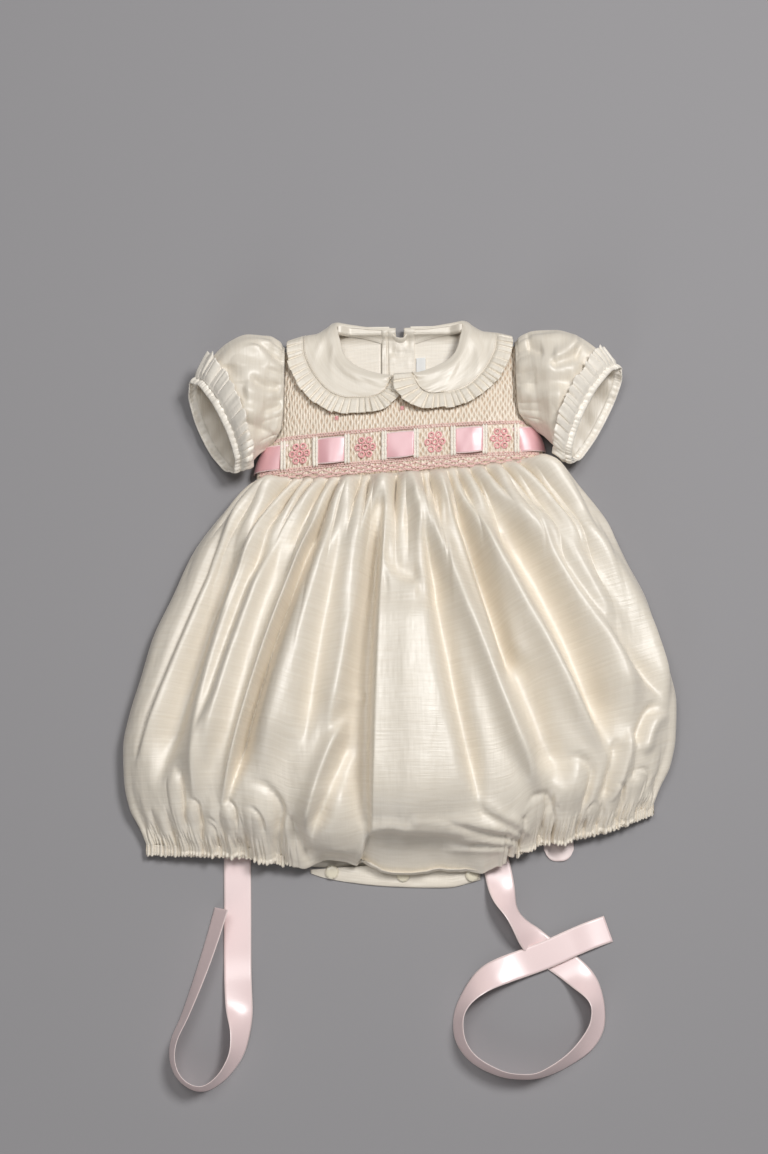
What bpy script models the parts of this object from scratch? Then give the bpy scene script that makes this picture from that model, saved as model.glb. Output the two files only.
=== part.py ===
"""Baby romper in ivory silk, laid on its back on a flat surface.

The front is one panel, smocked over the chest and let out below it into a bubble skirt that
elastic gathers in at the legs. It has short puff sleeves with frilled cuffs, a round collar in
two halves with a frill, and a satin ribbon threaded through the smocking, whose two ends come
out from under the skirt.

Sizes are in millimetres and become metres in make(). X runs across, Y from the hem to the neck
and Z up. Left and right are as seen from above with the neck at the top. The garment is worked
out evenly about X = 0, and laid() then lifts its right side a little along Y, as it lies.
"""

import math

import bpy
import numpy as np

# Driving sizes, in millimetres
CLOTH = 1.6              # wall of silk with its backing
FRILL = 1.0              # wall of a frill
SEAM = 0.3               # gap between two pieces at a seam
RIBBON_WIDTH = 20.0
RIBBON_WALL = 1.0
STRIP_WALL = 1.0         # wall of the placket, the neck facings and the label
COLUMNS = 80             # columns of the front panel
COLUMN_SPREAD = 0.55     # how much closer its columns stand towards the side seams
GATHERS = 20             # gathers under the smocking, four columns each
GATHER_HEIGHT = 1.5
SMOCK_HEIGHT = 0.9
PUFF_HEIGHT = 1.2        # short puffs above the leg elastic
CASING_WIDTH = 7.0
LEG_WAVES = 20
COLLAR_WAVES = 22
CUFF_WAVES = 16
SLEEVE_GATHERS = 10
RIBBON_ROW = 95.2        # height of the ribbon row along Y
WINDOW = (22.5, 18.5)    # ribbon seen in one slot, across and along
PLATEAU = 1.4            # lift of the back where it lies over a ribbon
COLLAR_LIFT = 2.0        # lift of the back where it lies over the collar


def table(columns, rows):
    """Named columns from a short table."""
    return dict(zip(columns.split(), np.array(rows, float).T))


# How far the laid garment climbs to the right, as a slope at each height
SLANT = table("y slope", [
    (-240, 0.075), (60, 0.075), (95, 0.078), (190, 0.015),
])

# Front skirt from the smocking (0) to the hem (1): half width, height along the middle, side seam
SKIRT = table("v half crest side", [
    (0.00, 108, 27, 7.0), (0.08, 130, 35, 7.5), (0.20, 155, 43, 8.0), (0.32, 170, 48, 8.0),
    (0.43, 184, 51, 8.0), (0.54, 195, 54, 8.0), (0.64, 204, 56, 8.0), (0.73, 209, 56, 8.0),
    (0.82, 208, 53, 8.0), (0.90, 203, 43, 8.0), (0.955, 194, 29, 7.5), (1.00, 187, 15, 7.0),
])

# Lower edge of the front, by share of the half width: left leg, crotch, right leg
HEM = table("s y", [
    (-1.00, -192.5), (-0.84, -196), (-0.70, -198.5), (-0.535, -202.5), (-0.45, -208),
    (-0.39, -214), (-0.27, -216.5), (0.00, -221), (0.31, -226), (0.39, -224.5),
    (0.45, -216), (0.535, -208), (0.72, -204.5), (0.84, -200), (1.00, -191.5),
])
LEG_START = 0.455        # share of the half width where a leg's elastic starts
# Lower edge of the back flap at the crotch
FLAP = table("x y", [
    (-76, -221.5), (-43, -223.5), (-15, -230), (15, -233.5), (37, -235), (50, -233), (59, -231),
])
FLAP_TOP = -214.0

# Bodice, by height along Y: half width, height along the middle, height at its edge
BODICE = table("y half crest edge", [
    (74, 108.5, 27, 7.0), (82, 108, 27, 7.0), (92, 106, 28, 7.5), (100, 102, 28.5, 9.0),
    (108, 95, 28.5, 12.0), (116, 90, 28, 15.0), (130, 88.5, 27, 17.0), (150, 88, 24, 16.5),
    (168, 88, 19, 13.0), (187, 88, 14, 11.0),
])

# Upper edge of the front: neckline, then shoulder seam
TOP = table("x y", [
    (0, 149.5), (14, 151), (27, 155), (38, 161.5), (43.5, 170), (45.5, 180), (47, 186.5),
    (60, 183), (88, 173),
])

# Largest folds of the skirt: place at the smocking and at the hem, half width, height, where it ends
FOLDS = table("waist hem width height ends", [
    (-0.90, -0.93, 0.035, -3.0, 0.75), (-0.83, -0.86, 0.050, 4.0, 0.92),
    (-0.75, -0.76, 0.035, 3.0, 0.80), (-0.66, -0.71, 0.035, -3.5, 0.74),
    (-0.56, -0.65, 0.045, 4.5, 0.90), (-0.47, -0.58, 0.030, -5.0, 0.88),
    (-0.40, -0.49, 0.055, 5.0, 0.90), (-0.31, -0.36, 0.045, 3.5, 0.80),
    (-0.23, -0.26, 0.045, -2.5, 0.78), (-0.145, -0.17, 0.032, -6.0, 0.96),
    (-0.085, -0.10, 0.040, 4.5, 0.96), (0.06, 0.08, 0.080, 5.0, 0.90),
    (0.165, 0.22, 0.035, -4.0, 0.85), (0.22, 0.36, 0.045, 4.5, 0.88),
    (0.31, 0.46, 0.040, -3.5, 0.72), (0.39, 0.62, 0.050, 5.0, 0.84),
    (0.52, 0.73, 0.040, -4.5, 0.80), (0.64, 0.83, 0.045, 4.5, 0.78),
    (0.76, 0.90, 0.035, -2.5, 0.66), (0.86, 0.95, 0.040, 4.0, 0.80),
])

# Sleeves from the armhole to the cuff: top and bottom of each ring in plan, middle height, half
# depth, how far its front is drawn back towards the bodice, and gathers
SLEEVE = table("x_top y_top x_low y_low mid depth back gather", [
    (88.6, 174.5, 98.5, 105.5, 9.5, 8.0, 0.0, 0.9),
    (99.0, 182.5, 108.5, 98.0, 18.5, 16.5, 1.0, 1.3),
    (114.0, 182.5, 112.0, 92.0, 25.0, 21.0, 3.5, 0.8),
    (130.0, 176.5, 115.0, 90.0, 25.5, 20.5, 6.0, 0.5),
    (143.5, 164.0, 117.5, 89.0, 24.5, 18.5, 7.5, 0.9),
    (152.5, 153.0, 119.5, 88.5, 22.5, 15.5, 8.5, 1.0),
])
# The right sleeve lies a little lower and reaches further than the left, from armhole to cuff
SLEEVE_DROP = table("ring x_top y_top x_low y_low", [
    (0, 0, 0, 0, 0), (2, 3, -0.5, 2, -4), (5, 8.5, -4, 4.5, -12),
])

# One half of the collar from the front to the back, at its neck edge and at its frill seam.
# under is 0 where it lies on the front and 1 where it lies beneath the back
COLLAR = table("q neck_x neck_y seam_x seam_y edge_x edge_y under", [
    (0.00, 4.0, 149.0, 5.5, 147.5, 1.0, 148.5, 0.0),
    (0.05, 5.5, 149.5, 9.0, 140.0, 0.8, 137.5, 0.0),
    (0.11, 9.5, 150.0, 15.0, 135.2, 8.0, 126.5, 0.0),
    (0.18, 16.0, 151.5, 24.0, 133.3, 21.5, 120.5, 0.0),
    (0.26, 25.0, 154.5, 38.0, 133.8, 41.5, 121.0, 0.0),
    (0.34, 33.5, 159.0, 50.5, 138.0, 57.5, 127.0, 0.0),
    (0.42, 40.0, 165.0, 61.0, 148.0, 71.0, 138.5, 0.0),
    (0.50, 43.5, 172.0, 68.5, 160.0, 80.5, 153.5, 0.0),
    (0.58, 45.0, 179.0, 72.5, 172.5, 85.0, 168.5, 0.0),
    (0.64, 46.5, 185.5, 73.0, 182.0, 85.5, 178.5, 0.25),
    (0.70, 46.0, 189.5, 72.0, 186.0, 84.5, 182.0, 0.55),
    (0.76, 44.0, 191.0, 70.0, 184.5, 83.0, 179.0, 0.85),
    (0.84, 34.0, 190.5, 58.0, 171.5, 68.0, 162.0, 1.0),
    (0.92, 19.0, 189.0, 32.0, 163.0, 36.0, 150.5, 1.0),
    (1.00, 3.0, 188.5, 5.0, 161.0, 4.0, 149.0, 1.0),
])

# Ribbon ends: middle of the ribbon in plan, height of its lower edge off the surface and how far
# it is tipped up on its outer edge, in degrees
TAIL_LEFT = table("x y lift tilt", [
    (-77, 60, 0, 0), (-83, 20, 0, 0), (-100, -80, 0, 0), (-114, -170, 0, 0), (-120, -214, 0, 0),
    (-119.6, -246, 0, 0), (-119.2, -289, 0, 0), (-118, -316, 0, 8), (-116.4, -334, 0, 42),
    (-118, -350, 0, 58), (-123.5, -362, 0, 68), (-132.5, -372.8, 0, 76), (-144.8, -379.3, 0, 80),
    (-156, -375, 0, 80), (-163.5, -366, 0, 78), (-166.3, -354, 0, 75), (-164.4, -342, 0, 73),
    (-159, -331, 0, 72), (-152.3, -314, 0, 68), (-145, -293.5, 0, 63), (-137.6, -270.5, 0, 59),
    (-131.2, -248.2, 0, 56),
])
TAIL_RIGHT = table("x y lift tilt", [
    (77, 68, 0, 0), (75, 20, 0, 0), (69, -80, 0, 0), (66, -160, 0, 0), (68, -200, 0, 0),
    (72.5, -223, 0, 0), (76, -239.5, 0, 0), (81.8, -252, 0, 0), (90, -263.5, 0, 0),
    (100, -273.8, 0, 0), (112, -282.5, 0, 0), (124, -291, 0, 3), (133.5, -299.5, 0, 18),
    (140, -308, 0, 43), (144.3, -319.5, 0, 58), (144, -330.5, 0, 54), (137.5, -344, 0, 52),
    (123, -357, 0, 66), (108.8, -365.3, 0, 73), (95, -370, 0, 80), (80, -369.4, 0, 80),
    (65.3, -364.5, 0, 77), (52.5, -356.8, 0, 75), (45.6, -348.3, 0, 73), (42, -338.5, 0, 70),
    (41.8, -327.5, 0.1, 70), (46, -316.6, 0.3, 65), (53.5, -307, 0.7, 50), (64, -298, 1.2, 25),
    (76, -292.6, 1.6, 8), (93.8, -286.3, 1.8, 0), (108.8, -280.6, 1.8, 0), (126, -272.8, 1.5, 0),
    (142.5, -266, 0.6, 0), (152.8, -262.4, 0.1, 0),
])
HIDDEN = 5               # stations of each ribbon end that lie under the skirt
BIGHT = (117.0, -213.0, 22.0, 30.0)      # peeping fold of the ribbon: x, lowest y, width, length

SNAPS = table("x y", [(-50.3, -217.3), (2.2, -223.4), (53.0, -226.8)])
SNAP_DIAMETER = 10.0
SNAP_HEIGHT = 1.6
PLACKET = (-13.5, 11.0)                  # back placket: its left and right edge
FACING = (173.0, 186.5)                  # facing inside the back of the neck, along Y
LABEL = (12.5, 19.5, 156.0, 167.5)       # size label: left, right, lower and upper edge

# How the collar rolls over the back of the neck: share of its depth, shift along Y and height
COLLAR_ROLL = table("r y z", [
    (0.00, 0.0, 8.8), (0.07, 3.6, 8.2), (0.15, 6.6, 4.6), (0.26, 7.4, 1.4), (0.40, 5.0, 0.0),
    (0.70, 0.0, 0.0), (1.00, 0.0, 0.0),
])
CUFF_FRILL_WIDTH = 15.0

IVORY = (0.87, 0.80, 0.68)
PINK = (0.80, 0.48, 0.50)
PEARL = (0.80, 0.72, 0.50)
WHITE = (0.90, 0.90, 0.88)


def smooth(xs, ys, at):
    """Curve through the points (xs, ys) that never swings past them, read at the values in at."""
    at = np.asarray(at, float)
    step = np.diff(xs)
    rise = np.diff(ys) / step
    slope = np.empty(len(xs))
    both = rise[:-1] * rise[1:]
    total = rise[:-1] + rise[1:]
    slope[1:-1] = np.where(both > 0, 2 * both / np.where(both > 0, total, 1), 0)
    slope[0], slope[-1] = rise[0], rise[-1]
    k = np.clip(np.searchsorted(xs, at) - 1, 0, len(step) - 1)
    t = np.clip((at - xs[k]) / step[k], 0, 1)
    return (
        (2 * t**3 - 3 * t**2 + 1) * ys[k] + (t**3 - 2 * t**2 + t) * step[k] * slope[k]
        + (3 * t**2 - 2 * t**3) * ys[k + 1] + (t**3 - t**2) * step[k] * slope[k + 1]
    )


def read(rows, column, at):
    """One column of a table, read along its first column."""
    first = next(iter(rows.values()))
    return smooth(first, rows[column], at)


def ease(value, start, end):
    """0 before start, 1 after end and a soft ramp between them."""
    t = np.clip((value - start) / (end - start), 0, 1)
    return t * t * (3 - 2 * t)


def spread(count, edge_share):
    """Column places from -1 to 1, closer together towards the side seams."""
    t = np.linspace(-1, 1, count + 1)
    return (1 - edge_share) * t + edge_share * np.sin(t * math.pi / 2)


def barrel(s):
    """Height of a puffed panel over its width: 1 in the middle, 0 at the side seams."""
    return np.sqrt(np.clip(1 - np.abs(s) ** 2.4, 0, 1))


def laid(points):
    """Points of the even garment, lifted along Y by the slant that it lies with."""
    out = np.array(points, float)
    out[..., 1] += smooth(SLANT["y"], SLANT["slope"], out[..., 1]) * out[..., 0]
    return out


def normals(grid, closed=False):
    """Unit normals of a grid of points (rows, columns, xyz): across the columns x up the rows."""
    up = np.gradient(grid, axis=0)
    if closed:
        wide = np.concatenate([grid[:, -1:], grid, grid[:, :1]], axis=1)
        across = (wide[:, 2:] - wide[:, :-2]) / 2
    else:
        across = np.gradient(grid, axis=1)
    out = np.cross(across, up)
    return out / np.maximum(np.linalg.norm(out, axis=-1, keepdims=True), 1e-9)


def material(name, colour, roughness):
    """A Principled material of one colour."""
    made = bpy.data.materials.get(name) or bpy.data.materials.new(name)
    made.use_nodes = True
    shader = made.node_tree.nodes["Principled BSDF"]
    shader.inputs["Base Color"].default_value = (*colour, 1)
    shader.inputs["Roughness"].default_value = roughness
    shader.inputs["Metallic"].default_value = 0
    made.diffuse_color = (*colour, 1)
    return made


def make(name, points, faces, finish):
    """One object from points in millimetres, with its faces turned outwards."""
    points = np.asarray(points, float)
    volume = 0.0
    for face in faces:
        for second, third in zip(face[1:-1], face[2:]):
            volume += np.dot(points[face[0]], np.cross(points[second], points[third]))
    if volume < 0:
        faces = [face[::-1] for face in faces]
    mesh = bpy.data.meshes.new(name)
    mesh.from_pydata((points / 1000).tolist(), [], [list(face) for face in faces])
    mesh.materials.append(finish)
    mesh.shade_smooth()
    mesh.set_sharp_from_angle(angle=math.radians(50))
    made = bpy.data.objects.new(name, mesh)
    bpy.context.scene.collection.objects.link(made)
    return made


def wall(name, outer, finish, thick=CLOTH, plain=None, every=1, closed=False, turn=1, edges=None,
         top=None):
    """A cloth wall between a grid of outer points and the same grid moved in by its thickness.

    plain is the grid without its fine relief, which the inside follows. every is how many outer
    columns the inside skips over, turn is -1 where the grid runs the other way round, edges gives
    set normals for the first and the last column, and top for the last row where it has a number.
    """
    base = outer if plain is None else plain
    out = normals(base, closed) * turn
    if edges is not None:
        out[:, 0], out[:, -1] = edges
    if top is not None:
        out[-1] = np.where(np.isnan(top), out[-1], top)
    inner = (base - thick * out)[:, ::every]
    rows, columns = outer.shape[:2]
    inner_columns = inner.shape[1]
    points = np.concatenate([outer.reshape(-1, 3), inner.reshape(-1, 3)])
    base_index = rows * columns

    def at_outer(row, column):
        return row * columns + column % columns

    def at_inner(row, column):
        return base_index + row * inner_columns + column % inner_columns

    faces = []
    spans = columns if closed else columns - 1
    for row in range(rows - 1):
        for c in range(spans):
            faces.append((at_outer(row, c), at_outer(row, c + 1),
                          at_outer(row + 1, c + 1), at_outer(row + 1, c)))
        for c in range(spans // every):
            faces.append((at_inner(row, c), at_inner(row + 1, c),
                          at_inner(row + 1, c + 1), at_inner(row, c + 1)))
    for c in range(spans // every):
        first, middle = c * every, c * every + every // 2
        for row, swap in ((0, False), (rows - 1, True)):
            rim = [(at_outer(row, k + 1), at_outer(row, k), at_inner(row, c))
                   for k in range(first, middle)]
            rim += [(at_outer(row, k + 1), at_outer(row, k), at_inner(row, c + 1))
                    for k in range(middle, first + every)]
            rim.append((at_outer(row, middle), at_inner(row, c), at_inner(row, c + 1)))
            faces += [face[::-1] for face in rim] if swap else rim
    if not closed:
        last = columns - 1
        for row in range(rows - 1):
            faces.append((at_outer(row, 0), at_outer(row + 1, 0),
                          at_inner(row + 1, 0), at_inner(row, 0)))
            faces.append((at_outer(row + 1, last), at_outer(row, last),
                          at_inner(row, inner_columns - 1), at_inner(row + 1, inner_columns - 1)))
    return make(name, points, faces, finish)


def waist_y(s):
    """Last row of smocking, which dips in the middle of the front."""
    return 81.5 - 7 * (1 - s * s)


def hem_y(s):
    """Lower edge of the front panel."""
    return read(HEM, "y", s)


def top_y(s):
    """Neckline and shoulder seam over the width of the front."""
    return read(TOP, "y", np.abs(s) * BODICE["half"][-1])


def skirt_base(s, v):
    """The puffed front of the skirt without folds, at share s across and v from smocking to hem."""
    y = waist_y(s) + v * (hem_y(s) - waist_y(s))
    side = read(SKIRT, "side", v)
    crest = read(SKIRT, "crest", v)
    z = side + (crest - side) * barrel(s)
    z = z - 5 * ease(v, 0.86, 1) * (1 - ease(np.abs(s), 0.25, 0.45))
    return np.stack([read(SKIRT, "half", v) * s, y, z], axis=-1)


def bodice_z(x, y):
    """Height of the front of the bodice."""
    s = np.clip(x / read(BODICE, "half", y), -1, 1)
    edge = read(BODICE, "edge", y)
    return edge + (read(BODICE, "crest", y) - edge) * barrel(s)


def bodice_base(s, b):
    """The front of the bodice at share s across and b from the last smocking row to its top."""
    top = top_y(s)
    y = waist_y(s) + b * (top - waist_y(s))
    x = s * read(BODICE, "half", y)
    z = bodice_z(x, y)
    shoulder = ease(np.abs(s) * 88, 44.5, 47.5)
    near = np.clip((y - top + 10) / 10, 0, 1)
    z = z - shoulder * (z - 8.0) * (1 - np.sqrt(1 - near**2))
    return np.stack([x, y, z], axis=-1)


def fold_height(s, v):
    """Sum of the skirt's largest folds at one place."""
    total = np.zeros(np.broadcast(s, v).shape)
    for i in range(len(FOLDS["waist"])):
        waist, hem, width, height, ends = (FOLDS[key][i] for key in FOLDS)
        place = waist + (hem - waist) * v
        total += (
            height * np.exp(-(((s - place) / (width * (0.8 + 0.4 * v))) ** 2))
            * ease(v, 0.0, 0.22) * (1 - ease(v, ends - 0.12, ends + 0.06))
        )
    return total


# Rows of the front: shares of the skirt from hem to smocking, then of the bodice up to its top
SKIRT_ROWS = np.array([1, .97, .93, .88, .82, .74, .65, .55, .45, .35, .26, .18, .11, .05])
SKIRT_BACK_ROWS = np.array([1, .955, .90, .83, .66, .50, .34, .20, .08, .035, .0])
BODICE_ROWS = np.array([0, .085, .17, .255, .34, .425, .51, .595, .68, .77, .86, .94, .983, 1])


def front_grids():
    """Outer points of the front panel with and without its fine relief, hem row first."""
    s = spread(COLUMNS, COLUMN_SPREAD)
    count = np.arange(COLUMNS + 1)
    rows, plain = [], []
    base = np.array([skirt_base(s, np.full(len(s), v)) for v in SKIRT_ROWS]
                    + [bodice_base(s, np.full(len(s), b)) for b in BODICE_ROWS])
    out = normals(base)
    out[:, 0], out[:, -1] = (-1, 0, 0), (1, 0, 0)
    inside = 1 - ease(np.abs(s), 0.975, 1.0)
    gather = np.cos(2 * math.pi * count * GATHERS / COLUMNS)
    odd = count % 2
    for j, v in enumerate(SKIRT_ROWS):
        height = fold_height(s, np.full(len(s), v))
        height += gather * GATHER_HEIGHT * (0.35 + ease(v, 0, 0.06)) * (1 - ease(v, 0.10, 0.42)) / 1.35
        plain.append(base[j] + out[j] * (height * inside)[:, None])
        puff = PUFF_HEIGHT * odd * ease(v, 0.88, 0.95) * ease(np.abs(s), 0.42, 0.48)
        rows.append(plain[-1] + out[j] * (puff * inside)[:, None])
    for j, b in enumerate(BODICE_ROWS):
        k = j + len(SKIRT_ROWS)
        x, y = base[k, :, 0], base[k, :, 1]
        ribbon = ease(-np.abs(y - RIBBON_ROW), -13.5, -11.0)
        window = ribbon * sum(ease(-np.abs(x - place), -15, -12.5) for place in window_places())
        relief = SMOCK_HEIGHT * ((count + j) % 2) * (1 - 0.6 * ribbon) * (1 - window)
        relief *= ease(b, 0, 0.075) * (1 - ease(b, 0.75, 0.84)) * inside
        small = gather * GATHER_HEIGHT * 0.26 * (1 - ease(b, 0, 0.075)) * inside
        plain.append(base[k] + out[k] * small[:, None])
        rows.append(plain[-1] + out[k] * relief[:, None])
    return laid(np.array(rows)), laid(np.array(plain))


def window_places():
    """Middle of each slot where the ribbon shows."""
    return (-51.5, 0.0, 51.5)


def front_panel(silk):
    """The front, smocked over the chest and puffed below it."""
    outer, plain = front_grids()
    sides = ((-1, 0, 0), (1, 0, 0))
    s = spread(COLUMNS, COLUMN_SPREAD)
    wall("front_panel", outer, silk, plain=plain, every=2, edges=sides, top=shoulder_normals(s))
    return outer


def shoulder_normals(s):
    """Normals of the shoulder seam, level and square to it; the neckline keeps its own."""
    out = np.full((len(s), 3), np.nan)
    shoulder = np.abs(s) * 88 > 47
    out[shoulder] = np.stack([0.31 * np.sign(s), np.full(len(s), 0.951), 0 * s], axis=-1)[shoulder]
    return out


def hidden_ribbon(v):
    """Middle of each ribbon end under the back of the skirt, at share v from bodice to hem."""
    out = []
    for tail_rows, hem, climb in ((TAIL_LEFT, -201.0, -9.0), (TAIL_RIGHT, FLAP_TOP, 5.0)):
        y = 81.2 + v * (hem - 81.2) + climb
        order = np.argsort(tail_rows["y"][:HIDDEN + 1])
        out.append(float(smooth(tail_rows["y"][order], tail_rows["x"][order], y)))
    return out


def skirt_back(silk):
    """The back of the skirt: flat on the surface, lifted over the ribbon, up at its side seams."""
    angle = np.radians([0, 25, 48, 70, 90])
    fold_x, fold_y, fold_wide, fold_long = BIGHT
    grid = []
    for v in SKIRT_BACK_ROWS:
        half = float(read(SKIRT, "half", v))
        side = float(read(SKIRT, "side", v)) - SEAM
        turn_in, lift = 10 * np.sin(angle) - 10, side * (1 - np.cos(angle))
        ribs = hidden_ribbon(v)
        flat = half - 10
        left = [ribs[0] + d for d in (-16, -11.5, 11.5, 16)]
        right = [ribs[1] + d for d in (-16, -11.5, 11.5, 16)]
        middle = np.linspace(left[-1], right[0], 6)[1:-1]
        if v > 0.85:
            reach = fold_wide / 2 + 1.2
            rest = [fold_x - reach - 4, fold_x - reach, fold_x + reach, fold_x + reach + 4]
            rest = np.array(rest + [(rest[-1] + flat) / 2, flat])
        else:
            rest = right[-1] + (flat - right[-1]) * np.array([.17, .22, .45, .5, .75, 1])
        low = [-flat] + left + list(middle) + right
        x = np.concatenate([-(half + turn_in)[::-1][:-1], low, rest, (half + turn_in)[1:]])
        corner = np.concatenate([lift[::-1][:-1], np.zeros(len(low) + len(rest)), lift[1:]])
        edge = back_hem_y(x / half)
        y = 81.2 + v * (edge - 81.2)
        over = sum(1 - ease(np.abs(x - rib), 11.6, 16) for rib in ribs) * (1 - ease(y, 71, 80))
        fold = 1 - ease(np.abs(x - fold_x), fold_wide / 2 + 1.3, fold_wide / 2 + 5)
        over = np.maximum(over, fold * (1 - ease(y, fold_y + fold_long + 2, fold_y + fold_long + 9)))
        grid.append(np.stack([x, y, over * PLATEAU + corner], axis=-1))
    grid = laid(np.array(grid))
    wall("skirt_back", grid, silk, turn=-1, edges=((-1, 0, 0), (1, 0, 0)))
    return grid


def back_hem_y(s):
    """Lower edge of the back, just inside the front's at the legs and short at the crotch."""
    return np.maximum(hem_y(s) + 2.0, FLAP_TOP)


def bodice_back_grid(x_from, x_to, columns, rows):
    """Under face of the back of the bodice between two places across, one of them a side seam."""
    grid = []
    for b in rows:
        places = []
        for share in columns:
            x = x_from + share * (x_to - x_from)
            for _ in range(3):
                top = top_back(x)
                y = 81.5 + b * (top - 81.5)
                half = float(read(BODICE, "half", y))
                start = x_from if abs(x_from) < 60 else math.copysign(half, x_from)
                end = x_to if abs(x_to) < 60 else math.copysign(half, x_to)
                x = start + share * (end - start)
            places.append((x, y, back_bodice_z(x, y, half, top)))
        grid.append(places)
    return np.array(grid)


def top_back(x):
    """Upper edge of the back: the shoulder seam, and a nearly straight neck between the two."""
    return float(read(TOP, "y", abs(x))) if abs(x) > 47 else 186.5


def back_bodice_z(x, y, half, top):
    """Height of the back's under face: flat, lifted over the collar, up at shoulder and side."""
    lift = COLLAR_LIFT * float(ease(y, 136, 147))
    near = min(max((y - top + 9) / 9, 0), 1)
    z = lift + (7.7 - lift) * (1 - math.sqrt(1 - near**2))
    side = (float(read(BODICE, "edge", y)) - SEAM) * (1 - float(ease(y, 98, 110)))
    across = min(max((abs(x) - half + 10) / 10, 0), 1)
    return z + side * (1 - math.sqrt(1 - across**2))


BACK_ROWS = np.array([0, .10, .20, .32, .50, .62, .74, .86, .93, .975, 1])


def side_normals(rows, sign):
    """Normals along a side of the back: level at the side seam and down at the armhole."""
    y = 81.5 + rows * (173 - 81.5)
    level = 1 - ease(y, 98, 110)
    out = np.stack([sign * level, 0 * y, -(1 - level)], axis=-1)
    out[-1] = (0.31 * sign, 0.951, 0)
    return out / np.linalg.norm(out, axis=1, keepdims=True)


def back_columns(count):
    """Column shares from a side seam inwards, close together where the panel turns up."""
    return np.concatenate([[0, 0.012, 0.035, 0.07, 0.12], np.linspace(0.12, 1, count - 4)[1:]])


def bodice_backs(silk):
    """The two halves of the back of the bodice, which meet under the placket."""
    seam = PLACKET[0] - 0.5
    level = (0, 0, -1)
    shares = back_columns(9)
    left = laid(bodice_back_grid(-88.0, seam, shares, BACK_ROWS))
    right = laid(bodice_back_grid(seam + SEAM, 88.0, 1 - shares[::-1], BACK_ROWS))
    ends = np.array([0.0, 0.951, 0.0])
    for name, grid, sign in (("bodice_back_left", left, -1), ("bodice_back_right", right, 1)):
        side = side_normals(BACK_ROWS, sign)
        middle = np.tile(level, (len(BACK_ROWS), 1)).astype(float)
        middle[-1] = (0, 1, 0)
        top = np.tile(ends, (grid.shape[1], 1))
        top[:, 0] = np.where(np.abs(grid[-1, :, 0]) > 47, 0.31 * sign, 0)
        top /= np.linalg.norm(top, axis=1, keepdims=True)
        edges = (side, middle) if sign < 0 else (middle, side)
        wall(name, grid, silk, turn=-1, edges=edges, top=top)


def back_profile(y):
    """Points (y, z) and normals of the back's under face near its middle, at heights y."""
    rows_y = 81.5 + BACK_ROWS * (186.5 - 81.5)
    rows_z = np.array([back_bodice_z(0.0, at, 88.0, 186.5) for at in rows_y])
    slope = np.stack([np.gradient(rows_z), -np.gradient(rows_y)], axis=-1)
    normal = slope / np.linalg.norm(slope, axis=1, keepdims=True)
    normal[-1] = (1, 0)
    point = np.stack([np.interp(y, rows_y, rows_y), np.interp(y, rows_y, rows_z)], axis=-1)
    return point, np.stack([np.interp(y, rows_y, normal[:, k]) for k in (0, 1)], axis=-1)


def inner_strip(name, finish, x_range, y_range, columns):
    """A strip 1 mm thick on the inside of the back, made from the back's own rows."""
    rows_y = 81.5 + BACK_ROWS * (186.5 - 81.5)
    within = rows_y[(rows_y > y_range[0] + 1) & (rows_y < y_range[1] - 1)]
    y = np.concatenate([[y_range[0]], within, [y_range[1]]])
    point, normal = back_profile(y)
    outer = point - normal * (CLOTH + SEAM)
    inner = outer - normal * STRIP_WALL
    x = np.linspace(*x_range, columns)
    grids = [laid(np.array([[(px, p[0], p[1]) for px in x] for p in side])) for side in (outer, inner)]
    rows = len(y)
    faces = []
    for r in range(rows - 1):
        for c in range(columns - 1):
            a = r * columns + c
            faces.append((a, a + columns, a + columns + 1, a + 1))
            a += rows * columns
            faces.append((a, a + 1, a + columns + 1, a + columns))
    ring = [c for c in range(columns)]
    ring += [r * columns + columns - 1 for r in range(1, rows)]
    ring += [(rows - 1) * columns + c for c in range(columns - 2, -1, -1)]
    ring += [r * columns for r in range(rows - 2, 0, -1)]
    for a, b in zip(ring, ring[1:] + ring[:1]):
        faces.append((a, b, b + rows * columns, a + rows * columns))
    make(name, np.concatenate([grid.reshape(-1, 3) for grid in grids]), faces, finish)


def collar_grid(shares, q):
    """Outer points of one half of the collar at shares of its depth and places q along it."""
    rows = []
    under = read(COLLAR, "under", q)
    for r in shares:
        x = read(COLLAR, "neck_x", q) * (1 - r) + read(COLLAR, "seam_x", q) * r
        y = read(COLLAR, "neck_y", q) * (1 - r) + read(COLLAR, "seam_y", q) * r
        top = bodice_z(x, y) + 1.55 + 0.9 * ease(r, 0.1, 0.4) + 2.2 * math.exp(-((r - 0.2) / 0.16) ** 2)
        roll = smooth(COLLAR_ROLL["r"], COLLAR_ROLL["y"], r)
        low = smooth(COLLAR_ROLL["r"], COLLAR_ROLL["z"], r)
        turned = ease(under, 0, 1)
        z = low + (top - low) * (1 + np.cos(math.pi * under)) / 2
        y = y + roll * turned
        rows.append(np.stack([x, y, z], axis=-1))
    return np.array(rows)


def frill_grid(shares, q, wave):
    """Outer points of the collar's frill from its seam to its edge."""
    rows = []
    under = read(COLLAR, "under", q)
    for r in shares:
        gap = (0.04 + 0.12 * (1 - ease(q, 0, 0.06))) * (1 - r)
        x = read(COLLAR, "seam_x", q) * (1 - r - gap) + read(COLLAR, "edge_x", q) * (r + gap)
        y = read(COLLAR, "seam_y", q) * (1 - r - gap) + read(COLLAR, "edge_y", q) * (r + gap)
        top = bodice_z(x, y) + 2.45 + r * (1.7 + 1.6 * wave)
        low = 0.05 + r * 0.3 * (1 + wave)
        z = low + (top - low) * (1 + np.cos(math.pi * under)) / 2
        rows.append(np.stack([x, y, z], axis=-1))
    return np.array(rows)


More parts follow.
